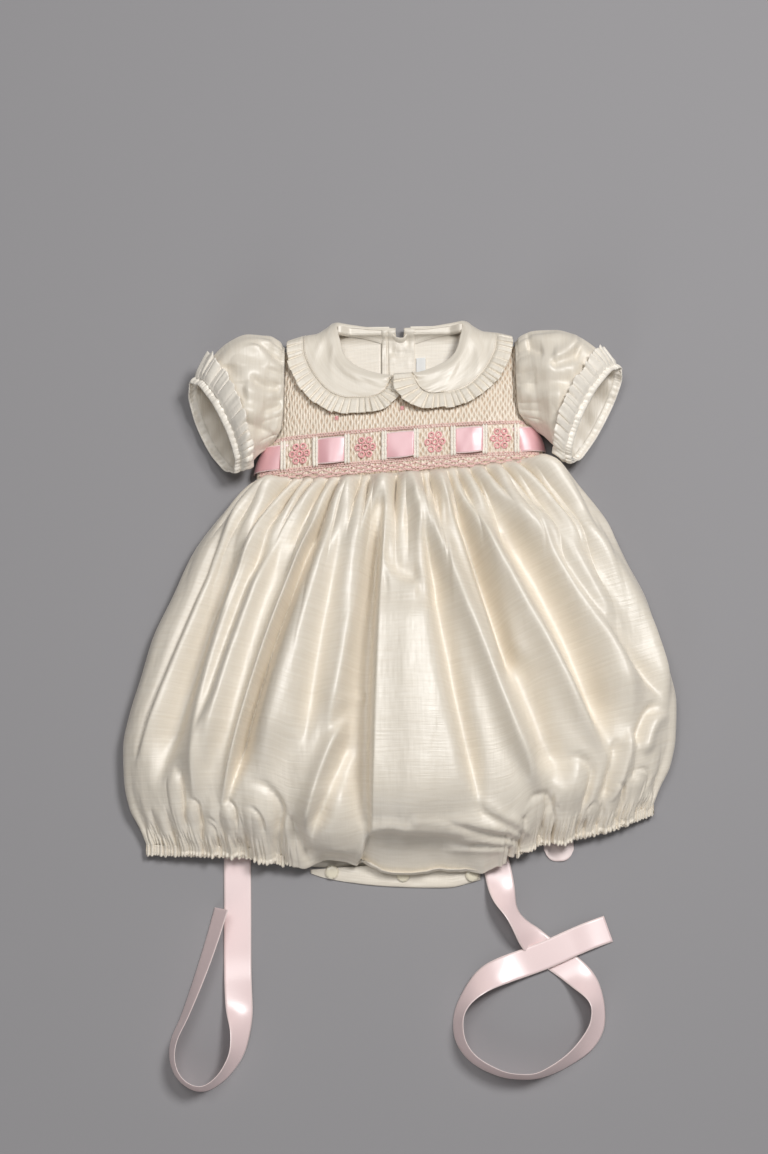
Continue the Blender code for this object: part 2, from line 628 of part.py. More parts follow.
def even_places(column_x, column_y, count):
    """Places q along the collar that lie evenly along one of its lines."""
    q = np.linspace(0, 1, 400)
    x, y = read(COLLAR, column_x, q), read(COLLAR, column_y, q)
    length = np.concatenate([[0], np.cumsum(np.hypot(np.diff(x), np.diff(y)))])
    return np.interp(np.linspace(0, length[-1], count), length, q)


def collars(silk):
    """Both halves of the collar, each with its frill."""
    q = even_places("seam_x", "seam_y", 25)
    q_frill = np.maximum(even_places("edge_x", "edge_y", COLLAR_WAVES * 4 + 1), 0.012)
    q_frill[:2] = (0.006, 0.009)
    wave = np.cos(2 * math.pi * COLLAR_WAVES * np.linspace(0, 1, len(q_frill)))
    for side, sign in (("left", -1), ("right", 1)):
        mirror = np.array([sign, 1, 1])
        half = laid(collar_grid([0, .07, .15, .26, .4, 1], q) * mirror)
        wall("collar_" + side, half, silk, thick=1.2, turn=-sign)
        frill = laid(frill_grid([0, 1], q_frill, wave) * mirror)
        wall("collar_frill_" + side, frill, silk, thick=FRILL, turn=-sign, every=2)


def sleeve_ring(side, ring):
    """Centre, half axis in plan, outward direction and other sizes of one ring of a sleeve."""
    place = np.arange(len(SLEEVE["mid"]), dtype=float)
    size = {key: float(smooth(place, SLEEVE[key], ring)) for key in SLEEVE}
    if side == "right":
        for key in ("x_top", "y_top", "x_low", "y_low"):
            size[key] += float(read(SLEEVE_DROP, key, ring))
    top = np.array([size["x_top"], size["y_top"], 0])
    low = np.array([size["x_low"], size["y_low"], 0])
    half = (top - low) / 2
    out = np.array([half[1], -half[0], 0]) / np.linalg.norm(half)
    return (top + low) / 2 + np.array([0, 0, size["mid"]]), half, out, size


def sleeve_point(side, ring, angle, beyond=0.0, off=0.0):
    """Points round a ring: 0 at its top in plan, then over the front. off moves them outwards."""
    centre, half, out, size = sleeve_ring(side, ring)
    long = np.linalg.norm(half)
    cos, sin = np.cos(angle)[:, None], np.sin(angle)[:, None]
    depth = size["depth"]
    round_normal = np.hypot(cos / long, sin / depth)
    normal = (half / long * cos / long + np.array([0, 0, 1]) * sin / depth) / round_normal
    gather = size["gather"] * np.cos(SLEEVE_GATHERS * angle)[:, None]
    points = centre + half * cos + np.array([0, 0, depth]) * sin
    points = points + out * (beyond - size["back"] * sin) + normal * (off + gather)
    if ring < 0.5:
        points[:, 0] = read(BODICE, "half", points[:, 1]) + 0.5
    points[:, 2] = np.maximum(points[:, 2], 0.1)
    return points


def sleeves(silk):
    """Both puff sleeves with their cuff bands and the frills turned back over them."""
    angle = np.linspace(0, 2 * math.pi, SLEEVE_GATHERS * 4, endpoint=False)
    fine = np.linspace(0, 2 * math.pi, CUFF_WAVES * 4, endpoint=False)
    for side, sign in (("left", -1), ("right", 1)):
        mirror = np.array([sign, 1, 1])
        rings = [sleeve_point(side, r, angle) for r in (0, .5, 1.2, 2.2, 3.3, 4.3, 5)]
        grid = laid(np.array(rings) * mirror)
        wall("sleeve_" + side, grid, silk, closed=True, every=2, turn=sign, thick=1.3)
        band = [sleeve_point(side, 5, angle, beyond=b, off=o) for b, o in ((1.1, 0), (5.2, 0))]
        wall("cuff_band_" + side, laid(np.array(band) * mirror), silk, closed=True, every=2,
             turn=sign, thick=1.3)
        wall("cuff_frill_" + side, laid(cuff_frill(side, fine) * mirror), silk, closed=True,
             every=2, turn=sign, thick=FRILL)


def cuff_frill(side, angle):
    """The frill's outer points: it lies back along the sleeve from the cuff band."""
    rings = np.linspace(5, 1.2, 30)
    path = np.array([sleeve_point(side, r, angle, off=1.0) for r in rings])
    length = np.concatenate([np.zeros((1, len(angle))),
                             np.cumsum(np.linalg.norm(np.diff(path, axis=0), axis=2), axis=0)])
    wave = np.cos(CUFF_WAVES * angle)
    rows = []
    for r in (0.03, 0.45, 1.0):
        reach = np.minimum(r * CUFF_FRILL_WIDTH, length[-1] * (0.25 + 0.75 * r))
        ring = np.array([np.interp(reach[k], length[:, k], rings) for k in range(len(angle))])
        row = []
        for k in range(len(angle)):
            rise = FRILL + 0.5 + r * (2.8 + 1.9 * wave[k])
            rise = rise if math.sin(angle[k]) > -0.2 else FRILL + 0.5 + r * (1.2 + 0.9 * wave[k])
            row.append(sleeve_point(side, float(ring[k]), angle[k:k + 1], off=rise)[0])
        rows.append(row)
    return np.array(rows)


def casing(side, front, back, silk):
    """The gathered elastic edge of one leg: a band round the front and the back hem."""
    sign = -1 if side == "left" else 1
    s = spread(COLUMNS, COLUMN_SPREAD)
    upper = front[0][s * sign > LEG_START]
    half = float(SKIRT["half"][-1])
    lower = back[0][back[0][:, 0] * sign > LEG_START * half]
    upper = upper if sign > 0 else upper[::-1]
    lower = lower[::-1] if sign > 0 else lower
    loop = np.concatenate([upper, lower])
    turn_at = len(upper) - 1
    length = np.concatenate([[0], np.cumsum(np.linalg.norm(np.diff(loop, axis=0), axis=1))])
    front_length = length[turn_at]
    count = LEG_WAVES * 4
    places = np.concatenate([np.linspace(0, front_length, count + 1),
                             np.linspace(front_length, length[-1], 20)[1:]])
    phase = np.concatenate([np.arange(count + 1) / 4, np.zeros(19)])
    over = np.concatenate([np.ones(count + 1), np.zeros(19)])
    path = np.stack([np.interp(places, length, loop[:, k]) for k in range(3)], axis=-1)
    rows = []
    for r in (0.0, 1.0):
        row = path.copy()
        row[:, 1] -= SEAM + r * CASING_WIDTH
        wave = np.cos(2 * math.pi * phase) * over
        drop = r * 2.5 * over * np.clip((path[:, 2] - 5) / 8, 0, 1)
        row[:, 2] += r * 1.1 * wave - drop
        row[:, 2] = np.maximum(row[:, 2], 0.0)
        rows.append(row)
    grid = np.array(rows)
    wall("leg_casing_" + side, grid, silk, closed=True, every=2, turn=-sign, thick=1.3)


def crotch_flap(silk):
    """The back flap that the front is snapped to, flat on the surface."""
    x = np.linspace(FLAP["x"][0], FLAP["x"][-1], 13)
    low = read(FLAP, "y", x)
    rows = [np.stack([x, low + (FLAP_TOP - SEAM - low) * r, 0 * x], axis=-1) for r in (0, 1)]
    wall("crotch_flap", laid(np.array(rows)), silk, turn=-1)


def snaps(pearl):
    """Snap studs on the flap."""
    for number, (x, y) in enumerate(zip(SNAPS["x"], SNAPS["y"]), 1):
        centre = laid(np.array([x, y, CLOTH + SEAM]))
        angle = np.linspace(0, 2 * math.pi, 12, endpoint=False)
        rings = []
        for radius, height in ((1, 0), (1, 0.45), (0.8, 0.85), (0.45, 1)):
            r = radius * SNAP_DIAMETER / 2
            rings.append(centre + np.stack(
                [r * np.cos(angle), r * np.sin(angle), np.full(12, height * SNAP_HEIGHT)], axis=-1))
        points = np.array(rings)
        faces = [tuple(range(12))[::-1], tuple(range(36, 48))]
        for ring in range(3):
            for k in range(12):
                n = (k + 1) % 12
                faces.append((ring * 12 + k, ring * 12 + n, ring * 12 + 12 + n, ring * 12 + 12 + k))
        make(f"snap_{number}", points.reshape(-1, 3), faces, pearl)


def ribbon_windows(satin):
    """The ribbon where it shows between two slots of the smocking, and its two ends."""
    wide, high = WINDOW
    for number, middle in enumerate(window_places(), 1):
        rows = []
        for v in np.linspace(-1, 1, 4):
            row = []
            for u in np.linspace(-1, 1, 5):
                x, y = middle + u * wide / 2, RIBBON_ROW + v * high / 2
                lift = SEAM + 0.1 + RIBBON_WALL + 0.7 * (1 - u * u) * (1 - 0.4 * v * v)
                row.append((x, y, float(bodice_z(x, y)) + lift))
            rows.append(row)
        wall(f"ribbon_window_{number}", laid(np.array(rows)), satin, thick=RIBBON_WALL)
    for side, sign in (("left", -1), ("right", 1)):
        rows = []
        for y in np.linspace(RIBBON_ROW - 8.5, RIBBON_ROW + 5.5, 3):
            half = float(read(BODICE, "half", y))
            edge = float(read(BODICE, "edge", y))
            row = []
            for u in (.84, .88, .92, .95, .975, .99):
                row.append((u * half, y, edge + (float(bodice_z(0, y)) - edge) * float(barrel(u))))
            row += [(half, y, edge), (half, y, edge - 3)]
            rows.append(row)
        base = np.array(rows) * np.array([sign, 1, 1])
        out = normals(base) * sign
        out[:, -2:] = (sign, 0, 0)
        grid = laid(base + out * (RIBBON_WALL + 0.65))
        wall("ribbon_end_" + side, grid, satin, thick=RIBBON_WALL, turn=sign)


def tail(name, rows, count, finish):
    """One free end of the ribbon: a strip carried along its route, tipped up as the table says."""
    place = np.arange(len(rows["x"]), dtype=float)
    at = np.linspace(0, place[-1], 600)
    route = np.stack([smooth(place, rows[key], at) for key in ("x", "y")], axis=-1)
    length = np.concatenate([[0], np.cumsum(np.linalg.norm(np.diff(route, axis=0), axis=1))])
    turn = np.abs(np.gradient(np.unwrap(np.arctan2(*np.gradient(route, axis=0).T[::-1]))))
    weight = np.concatenate([[0], np.cumsum(np.diff(length) + 22 * turn[1:])])
    at = np.interp(np.linspace(0, weight[-1], count), weight, at)
    middle = np.stack([smooth(place, rows[key], at) for key in ("x", "y", "lift")], axis=-1)
    tilt = np.radians(smooth(place, rows["tilt"], at))[:, None]
    middle[:, 2:] += RIBBON_WIDTH / 2 * np.sin(tilt) + RIBBON_WALL / 2 * np.cos(tilt)
    ahead = np.gradient(middle[:, :2], axis=0)
    ahead /= np.linalg.norm(ahead, axis=1, keepdims=True)
    side = np.stack([-ahead[:, 1], ahead[:, 0], 0 * at], axis=-1)
    across = side * np.cos(tilt) - np.array([0, 0, 1]) * np.sin(tilt)
    grid = np.array([middle + across * RIBBON_WIDTH / 2 * u for u in (1, -1)])
    face = np.cross(ahead_3d(ahead), across)
    grid = grid + face * RIBBON_WALL / 2
    wall(name, grid, finish, thick=RIBBON_WALL, turn=-1)


def ahead_3d(ahead):
    """Directions in plan with a height of nothing."""
    return np.concatenate([ahead, np.zeros((len(ahead), 1))], axis=1)


def bight(satin):
    """The fold of the ribbon that peeps out from under the right leg."""
    middle, low, wide, long = BIGHT
    u = np.linspace(-1, 1, 9)
    start = low + 5.0 * np.abs(u) ** 3
    rows = [np.stack([middle + u * wide / 2 * (0.86 if r == 0 else 1),
                      start + (low + long - start) * r, 0 * u], axis=-1) for r in (0, .15, .6, 1)]
    wall("ribbon_fold", np.array(rows), satin, thick=RIBBON_WALL, turn=-1)


def main():
    for old in list(bpy.data.objects):
        bpy.data.objects.remove(old, do_unlink=True)
    silk = material("ivory_silk", IVORY, 0.42)
    satin = material("pink_satin", PINK, 0.35)
    pearl = material("pearl_snap", PEARL, 0.30)
    white = material("label_tape", WHITE, 0.70)
    front = front_panel(silk)
    back = skirt_back(silk)
    bodice_backs(silk)
    inner_strip("back_placket", silk, PLACKET, (82.5, FACING[1]), 3)
    inner_strip("neck_facing_left", silk, (-38.0, PLACKET[0] - SEAM), FACING, 4)
    inner_strip("neck_facing_right", silk, (PLACKET[1] + SEAM, 36.0), FACING, 4)
    inner_strip("size_label", white, LABEL[:2], LABEL[2:], 2)
    collars(silk)
    sleeves(silk)
    for side in ("left", "right"):
        casing(side, front, back, silk)
    crotch_flap(silk)
    snaps(pearl)
    ribbon_windows(satin)
    tail("ribbon_tail_left", TAIL_LEFT, 36, satin)
    tail("ribbon_tail_right", TAIL_RIGHT, 54, satin)
    bight(satin)
    centre_on_origin()


def centre_on_origin():
    """Hangs every piece under one empty, so that the whole is centred over the origin."""
    pieces = list(bpy.data.objects)
    corners = np.array([corner.co for piece in pieces for corner in piece.data.vertices])
    low, high = corners.min(axis=0), corners.max(axis=0)
    root = bpy.data.objects.new("romper", None)
    bpy.context.scene.collection.objects.link(root)
    root.location = (-(low[0] + high[0]) / 2, -(low[1] + high[1]) / 2, -low[2])
    for piece in pieces:
        piece.parent = root


main()
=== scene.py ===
"""Baby romper in ivory silk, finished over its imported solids.

Sizes are in millimetres until place() turns them into metres in the frame of the solids. X runs
across, Y from the hem to the neck and Z up. The garment is worked out evenly about X = 0 and
laid() lifts its right side along Y, as it lies. Left and right are as seen from above.
"""

import math

import bpy
import numpy as np
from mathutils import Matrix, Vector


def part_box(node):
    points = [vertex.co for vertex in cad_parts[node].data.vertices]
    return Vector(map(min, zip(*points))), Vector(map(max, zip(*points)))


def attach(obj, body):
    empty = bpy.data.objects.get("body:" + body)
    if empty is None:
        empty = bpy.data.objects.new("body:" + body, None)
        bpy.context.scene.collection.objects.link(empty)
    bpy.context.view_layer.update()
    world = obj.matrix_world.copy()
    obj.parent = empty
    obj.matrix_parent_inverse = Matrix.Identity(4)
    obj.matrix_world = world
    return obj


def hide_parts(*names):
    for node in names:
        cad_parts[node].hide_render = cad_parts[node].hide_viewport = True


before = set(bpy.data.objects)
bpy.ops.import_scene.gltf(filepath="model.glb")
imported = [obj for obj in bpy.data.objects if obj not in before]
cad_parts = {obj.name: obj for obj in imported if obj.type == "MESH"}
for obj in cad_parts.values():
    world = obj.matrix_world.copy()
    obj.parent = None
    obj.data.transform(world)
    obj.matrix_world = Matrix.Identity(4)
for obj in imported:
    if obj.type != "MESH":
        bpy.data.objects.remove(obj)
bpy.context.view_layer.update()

bl_info = {
    "name": "Baby romper",
    "version": (1, 0, 0),
    "blender": (4, 5, 0),
    "location": "View3D > Sidebar > Romper",
    "description": "Dresses the solids of a smocked silk bubble romper",
    "category": "Object",
}


def table(columns, rows):
    """Named columns from a short table."""
    return dict(zip(columns.split(), np.array(rows, float).T))


# How far the laid garment climbs to the right, as a slope at each height
SLANT = table("y slope", [
    (-240, 0.075), (60, 0.075), (95, 0.078), (190, 0.015),
])

# Front skirt from the smocking (0) to the hem (1): half width, height along the middle, side seam
SKIRT = table("v half crest side", [
    (0, 108, 27, 7), (0.08, 130, 35, 7.5), (0.2, 155, 43, 8), (0.32, 170, 48, 8),
    (0.43, 184, 51, 8), (0.54, 192.5, 54, 8), (0.64, 200.5, 56, 8), (0.73, 205, 56, 8),
    (0.82, 204, 53, 8), (0.9, 199.5, 43, 8), (0.955, 192, 29, 7.5), (1, 187, 15, 7),
])

# Lower edge of the front, by share of the half width: left leg, crotch, right leg
HEM = table("s y", [
    (-1, -187), (-0.84, -190.5), (-0.7, -193), (-0.535, -197.5), (-0.45, -204.5),
    (-0.39, -212), (-0.27, -216), (0, -221), (0.31, -226), (0.39, -222.5),
    (0.45, -211), (0.535, -202.5), (0.72, -198.8), (0.84, -194.5), (1, -185.5),
])
LEG_START = 0.455        # share of the half width where a leg's elastic starts

# Lower edge of the back flap at the crotch
FLAP = table("x y", [
    (-66, -217), (-56, -221), (-43, -224.5), (-15, -230), (15, -233.5), (37, -235), (50, -233),
    (59, -231),
])
FLAP_TOP = -214.0        # its upper edge, and the back's lower edge there
BACK_TOP = 81.2          # upper edge of the skirt's back
SIDE_TURN = 10.0         # radius with which the back turns up at its side seams

# Bodice, by height along Y: half width, height along the middle, height at its edge
BODICE = table("y half crest edge", [
    (74, 108.5, 27, 7), (82, 108, 27, 7), (92, 106, 28, 7.5), (100, 102, 28.5, 9),
    (108, 95, 28.5, 12), (116, 90, 28, 15), (130, 88.5, 27, 17), (150, 88, 24, 16.5),
    (168, 88, 19, 13), (187, 88, 14, 11),
])

# Upper edge of the front: neckline, then shoulder seam
TOP = table("x y", [
    (0, 149.5), (14, 151), (27, 155), (38, 161.5), (43.5, 170), (45.5, 180), (47, 186.5),
    (60, 183), (88, 173),
])
WAIST = 81.5             # height of the smocking's lower edge at the side seams
WAIST_DIP = 7.0          # how far it dips in the middle
RIBBON_ROW = 95.2        # height of the ribbon row along Y
WINDOW = (22.5, 18.5)    # ribbon seen in one slot, across and along
WINDOW_PLACES = (-51.5, 0.0, 51.5)
WINDOW_BOWS = ((2.6, 0.05), (2.4, 0.62), (2.8, 0.42))    # rise of each and where across it peaks
SHOULDER = 88.0          # half width of the bodice at its shoulders
NECK_HALF = 47.0         # where the shoulder seams start
NECK_BACK = 186.5        # back of the neck along Y
NOTCH_HALF = 3.6         # half width of the notch in it

# Main creases of the skirt's front. Each runs through three places given as share across and
# share down, with its width in mm to the left and to the right, its height and how sharp it is
CREASES = table("s1 v1 s2 v2 s3 v3 left right height sharp", [
    (-0.95, 0.03, -0.868, 0.4, -0.955, 0.8, 3.2, 10.4, 2.6, 1.9),
    (-0.958, 0.03, -0.88, 0.4, -0.966, 0.8, 3.2, 3.2, -1.8, 1.9),
    (-0.79, 0.12, -0.79, 0.45, -0.88, 0.86, 10.4, 10.4, -5, 2),
    (-0.74, 0.05, -0.715, 0.45, -0.765, 0.92, 7.8, 10.4, 4.5, 1.9),
    (-0.67, 0.12, -0.675, 0.4, -0.72, 0.72, 5.2, 5.2, -2.6, 1.9),
    (-0.6, 0.18, -0.635, 0.45, -0.69, 0.8, 6.5, 7.8, 4, 1.9),
    (-0.435, 0.05, -0.532, 0.5, -0.668, 0.92, 3.2, 2.2, 3.4, 1.6),
    (-0.415, 0.04, -0.512, 0.5, -0.648, 0.92, 2.2, 7, -6.5, 1.6),
    (-0.36, 0.08, -0.43, 0.5, -0.5, 0.82, 16.9, 20.8, 5, 2),
    (-0.28, 0.1, -0.325, 0.45, -0.34, 0.72, 7.8, 7.8, -3.8, 1.9),
    (-0.175, 0.04, -0.205, 0.4, -0.268, 0.7, 9.1, 7.8, 4.2, 1.9),
    (-0.108, 0.03, -0.112, 0.5, -0.126, 0.96, 18, 2.2, -8, 2.2),
    (-0.1, 0.03, -0.103, 0.5, -0.116, 0.95, 2.2, 7, 1.8, 1.6),
    (0.03, 0.25, 0.05, 0.6, 0.05, 0.94, 33.8, 39, 4.5, 2.2),
    (-0.09, 0.205, -0.015, 0.262, 0.095, 0.275, 4, 8, -1.3, 1.8),
    (-0.085, 0.24, 0, 0.296, 0.095, 0.312, 8, 6.5, 1.2, 1.9),
    (0.125, 0.08, 0.172, 0.44, 0.31, 0.9, 5.9, 7.8, -5, 1.9),
    (0.08, 0.03, 0.11, 0.18, 0.125, 0.36, 6.5, 6.5, 3, 1.9),
    (0.1, 0.03, 0.29, 0.4, 0.545, 0.94, 7.8, 7.8, 5, 1.9),
    (0.285, 0.02, 0.33, 0.22, 0.42, 0.58, 3.2, 7.2, -6.5, 1.9),
    (0.4, 0.45, 0.48, 0.68, 0.6, 0.9, 10.4, 10.4, -4.5, 2),
    (0.335, 0.04, 0.545, 0.48, 0.745, 0.85, 9.1, 5.9, 5.2, 1.9),
    (0.49, 0.08, 0.62, 0.42, 0.77, 0.85, 10.4, 10.4, -6, 1.9),
    (0.56, 0.04, 0.765, 0.42, 0.83, 0.78, 14.3, 11.7, 5, 1.9),
    (0.69, 0.16, 0.8, 0.48, 0.966, 0.73, 4.6, 6, -2.8, 1.9),
    (0.79, 0.12, 0.935, 0.42, 0.96, 0.76, 9, 8, 2.6, 1.9),
    (0.852, 0.82, 0.868, 0.755, 0.925, 0.705, 3, 4.5, -1.9, 1.8),
    (0.885, 0.85, 0.898, 0.78, 0.945, 0.735, 5, 7, 1.7, 1.9),
    (0.77, 0.78, 0.765, 0.86, 0.745, 0.95, 4, 5, -1.6, 1.8),
    (0.815, 0.76, 0.815, 0.85, 0.79, 0.95, 5, 4, 1.5, 1.8),
    (-0.19, 0.62, -0.3, 0.8, -0.358, 0.92, 6.5, 3.9, 3.2, 1.9),
    (-0.18, 0.66, -0.27, 0.84, -0.33, 0.93, 3.9, 6.5, -3, 1.9),
    (-0.24, 0.6, -0.18, 0.58, -0.12, 0.57, 3.2, 3.2, 0.9, 1.9),
])

# Creases about the crotch, in mm as it lies: three places, then as above
CROTCH_CREASES = table("x1 y1 x2 y2 x3 y3 left right height sharp", [
    (30, -186, 56, -194, 92, -203, 3, 5, 1.8, 1.8),
    (38, -192, 58, -199, 92, -206, 3.6, 3, -1.9, 1.8),
    (48, -178, 66, -190, 94, -202, 3, 3, -1.5, 1.8),
    (50, -172, 70, -186, 96, -200, 4, 4, 1.6, 1.8),
    (36, -203, 58, -206, 86, -209, 2.4, 2.4, 1.8, 1.6),
    (30, -212, 56, -212, 84, -212, 2.2, 2.2, 1.4, 1.6),
    (48, -209, 64, -209.5, 84, -210.5, 2.2, 2.2, -1.6, 1.6),
    (-56, -150, -52, -178, -44, -214, 14, 13, 2.6, 2),
    (-82, -176, -74, -194, -64, -216, 3, 4, -2.2, 1.8),
    (-74, -206, -58, -204, -36, -212, 2.6, 3.6, -1.6, 1.8),
    (5, -186, 22, -188, 40, -193, 3, 4, 1.4, 1.7),
])
# Crest that the dip at the crotch falls away from, in mm as it lies
CREST = table("x y", [
    (-32, -216), (-28.5, -208.5), (-25.5, -198), (-19.5, -192.5), (-9.8, -191.4), (3.8, -193.5),
    (21, -195.9), (34.5, -198.3), (51.8, -200.6), (75, -203.2), (90, -207.8),
])

# Puffs above the leg elastic: place across, where the arch at their top lies, half width, height
PUFFS = table("s top width height", [
    (-0.845, 0.8, 5.5, 2.2), (-0.79, 0.88, 5, 2), (-0.735, 0.93, 6, 2.2),
    (-0.655, 0.885, 6, 2.8), (-0.535, 0.835, 15, 5), (-0.56, 0.895, 7.5, 3.2),
    (0.44, 0.92, 5, 2), (0.5, 0.895, 12, 3.8),
    (0.575, 0.93, 5, 2), (0.64, 0.825, 14, 5.2), (0.74, 0.93, 5, 1.8),
    (0.815, 0.905, 7, 2.2), (0.9, 0.885, 8, 2.2),
])

# Sleeves from the armhole to the cuff: top and bottom of each ring in plan, middle height, half
# depth, how far its front is drawn back towards the bodice, and gathers
SLEEVE = table("x_top y_top x_low y_low mid depth back gather", [
    (88.6, 174.5, 98.5, 105.5, 13.5, 14.5, 0, 0.9),
    (98, 182, 107, 98, 19.5, 19.5, 0.5, 1.2),
    (114, 182.5, 112, 92, 23.5, 21, 3.5, 0.8),
    (130, 176.5, 115, 90, 25.5, 20.5, 6, 0.5),
    (143.5, 164, 117.5, 89, 24.5, 18.5, 7.5, 0.9),
    (152.5, 153, 119.5, 88.5, 22.5, 15.5, 8.5, 1),
])
CUFF = 5                 # the last of those rings
# The right sleeve lies a little lower and reaches further than the left, from armhole to cuff
SLEEVE_DROP = table("ring x_top y_top x_low y_low", [
    (0, 0, 0, 0, 0), (2, 3, -0.5, 2, -4), (5, 8.5, -4, 4.5, -12),
])

# Placed creases of the sleeves, as they lie: side (-1 is left), three places in mm, then as for
# the skirt's creases
SLEEVE_CREASES = table("side x1 y1 x2 y2 x3 y3 left right height sharp", [
    (-1, -107, 176, -97, 167, -87, 154, 4.1, 3.6, -3, 1.9),
    (-1, -111, 172, -102, 163, -90, 148, 5.4, 4.7, 3, 1.9),
    (-1, -113, 145, -104, 139, -88, 140, 4.1, 3.6, -3.8, 1.9),
    (-1, -118, 134, -106, 131, -90, 134, 6.8, 5.4, 4.2, 1.9),
    (-1, -104, 117, -96, 122, -86, 127, 3.6, 3.6, -3.2, 1.9),
    (-1, -122, 120, -108, 117, -92, 113, 5.4, 5.4, 3.2, 1.9),
    (-1, -118, 108, -106, 106, -92, 103, 3.6, 3.6, -2.8, 1.9),
    (-1, -132, 156, -124, 148, -117, 137, 4.7, 6.8, -2.5, 1.9),
    (1, 136, 174, 128, 165, 112, 158, 3.6, 6.8, 4, 1.9),
    (1, 137, 169, 127, 160, 110, 154, 5.4, 3.6, -4.2, 1.9),
    (1, 92, 150, 114, 150, 138, 152, 7, 7.5, 3, 2),
    (1, 92, 138, 110, 139, 132, 141, 5.5, 5.5, -2.6, 2),
    (1, 92, 122, 106, 128, 124, 130, 8, 7, 2.6, 2),
    (1, 94, 176, 100, 169, 108, 163, 3.6, 4.7, -3.2, 1.9),
])

# One half of the collar from the front to the back, at its neck edge and at its frill seam.
# under is 0 where it lies on the front and 1 where it lies beneath the back
COLLAR = table("q neck_x neck_y seam_x seam_y edge_x edge_y under", [
    (0, 4, 149, 5.5, 147.5, 1, 148.5, 0),
    (0.05, 5.5, 149.5, 9, 140, 0.8, 137.5, 0),
    (0.11, 9.5, 150, 15, 135.2, 8, 126.5, 0),
    (0.18, 16, 151.5, 24, 133.3, 21.5, 120.5, 0),
    (0.26, 25, 154.5, 38, 133.8, 41.5, 121, 0),
    (0.34, 33.5, 159, 50.5, 138, 57.5, 127, 0),
    (0.42, 40, 165, 61, 148, 71, 138.5, 0),
    (0.5, 43.5, 172, 68.5, 160, 80.5, 153.5, 0),
    (0.58, 45, 179, 72.5, 172.5, 85, 168.5, 0),
    (0.64, 46.5, 185.5, 73, 182, 85.5, 178.5, 0.25),
    (0.7, 46, 189.5, 72, 186, 84.5, 182, 0.55),
    (0.76, 44, 191, 70, 184.5, 83, 179, 0.85),
    (0.84, 34, 190.5, 58, 171.5, 68, 162, 1),
    (0.92, 19, 189, 32, 163, 36, 150.5, 1),
    (1, 3, 188.5, 5, 161, 4, 149, 1),
])
# How the collar rolls over the back of the neck: share of its depth, shift along Y and height
COLLAR_ROLL = table("r y z", [
    (0, 0, 8.8), (0.07, 3.6, 8.2), (0.15, 6.6, 4.6), (0.26, 7.4, 1.4), (0.4, 5, 0),
    (0.7, 0, 0), (1, 0, 0),
])
# Shift of the lines at the front, x outward and y: the lapping right half and the left under it
COLLAR_SHIFT = {
    "left": {"neck": (1.5, 0.5), "seam": (1.0, 0.8), "edge": (-3.0, 0.0)},
    "right": {"neck": (5.0, 2.0), "seam": (4.0, 3.2), "edge": (-6.0, 0.8)},
}
COLLAR_WAVES = 40        # pleats in the frill of one half
CUFF_WAVES = 36          # gathers round one cuff's frill
CUFF_FRILL_WIDTH = 14.0
SLEEVE_GATHERS = 10      # folds round a sleeve that its armhole and its cuff draw up
LEG_WAVES = 140          # gathers of the leg elastic, over the whole width of the front
FOLD_DEPTH = 3.0         # the skirt's creases are this many times as deep as their table says
CROTCH_DEPTH = 1.5       # and those about the crotch this many times
FINEST = 2.2             # narrowest crease that the mesh can follow, in mm
CASING_WIDTH = 7.0       # elastic casing at a leg
SEAM = 0.3               # gap between two pieces that are sewn to each other

# Ribbon ends: middle of the ribbon in plan, height of its lower edge off the surface and how far
# it is tipped up on its outer edge, in degrees
TAIL_LEFT = table("x y lift tilt", [
    (-77, 60, 0, 0), (-83, 20, 0, 0), (-100, -80, 0, 0), (-114, -170, 0, 0), (-120, -214, 0, 0),
    (-119.6, -246, 0, 0), (-119.2, -289, 0, 0), (-118, -316, 0, 8), (-116.4, -334, 0, 42),
    (-118, -350, 0, 58), (-123.5, -362, 0, 68), (-132.5, -372.8, 0, 76), (-144.8, -379.3, 0, 80),
    (-156, -375, 0, 80), (-163.5, -366, 0, 78), (-166.3, -354, 0, 75), (-164.4, -342, 0, 73),
    (-159, -331, 0, 72), (-152.3, -314, 0, 68), (-145, -293.5, 0, 63), (-137.6, -270.5, 0, 59),
    (-131.2, -248.2, 0, 56),
])
TAIL_RIGHT = table("x y lift tilt", [
    (77, 68, 0, 0), (75, 20, 0, 0), (69, -80, 0, 0), (66, -160, 0, 0), (68, -200, 0, 0),
    (72.5, -223, 0, 0), (76, -239.5, 0, 28), (81.8, -252, 0, 58), (90, -263.5, 0, 42),
    (100, -273.8, 0, 0), (112, -282.5, 0, 0), (124, -291, 0, 3), (133.5, -299.5, 0, 18),
    (140, -308, 0, 43), (144.3, -319.5, 0, 58), (144, -330.5, 0, 54), (137.5, -344, 0, 52),
    (123, -357, 0, 66), (108.8, -365.3, 0, 73), (95, -370, 0, 80), (80, -369.4, 0, 80),
    (65.3, -364.5, 0, 77), (52.5, -356.8, 0, 75), (45.6, -348.3, 0, 73), (42, -338.5, 0, 70),
    (41.8, -327.5, 0.1, 70), (46, -316.6, 0.3, 65), (53.5, -307, 0.7, 50), (64, -298, 1.2, 25),
    (76, -292.6, 1.8, 8), (93.8, -286.3, 2.6, 0), (108.8, -280.6, 2.8, 0), (126, -272.8, 2.2, 0),
    (142.5, -266, 0.6, 0), (152.8, -262.4, 0.1, 0),
])
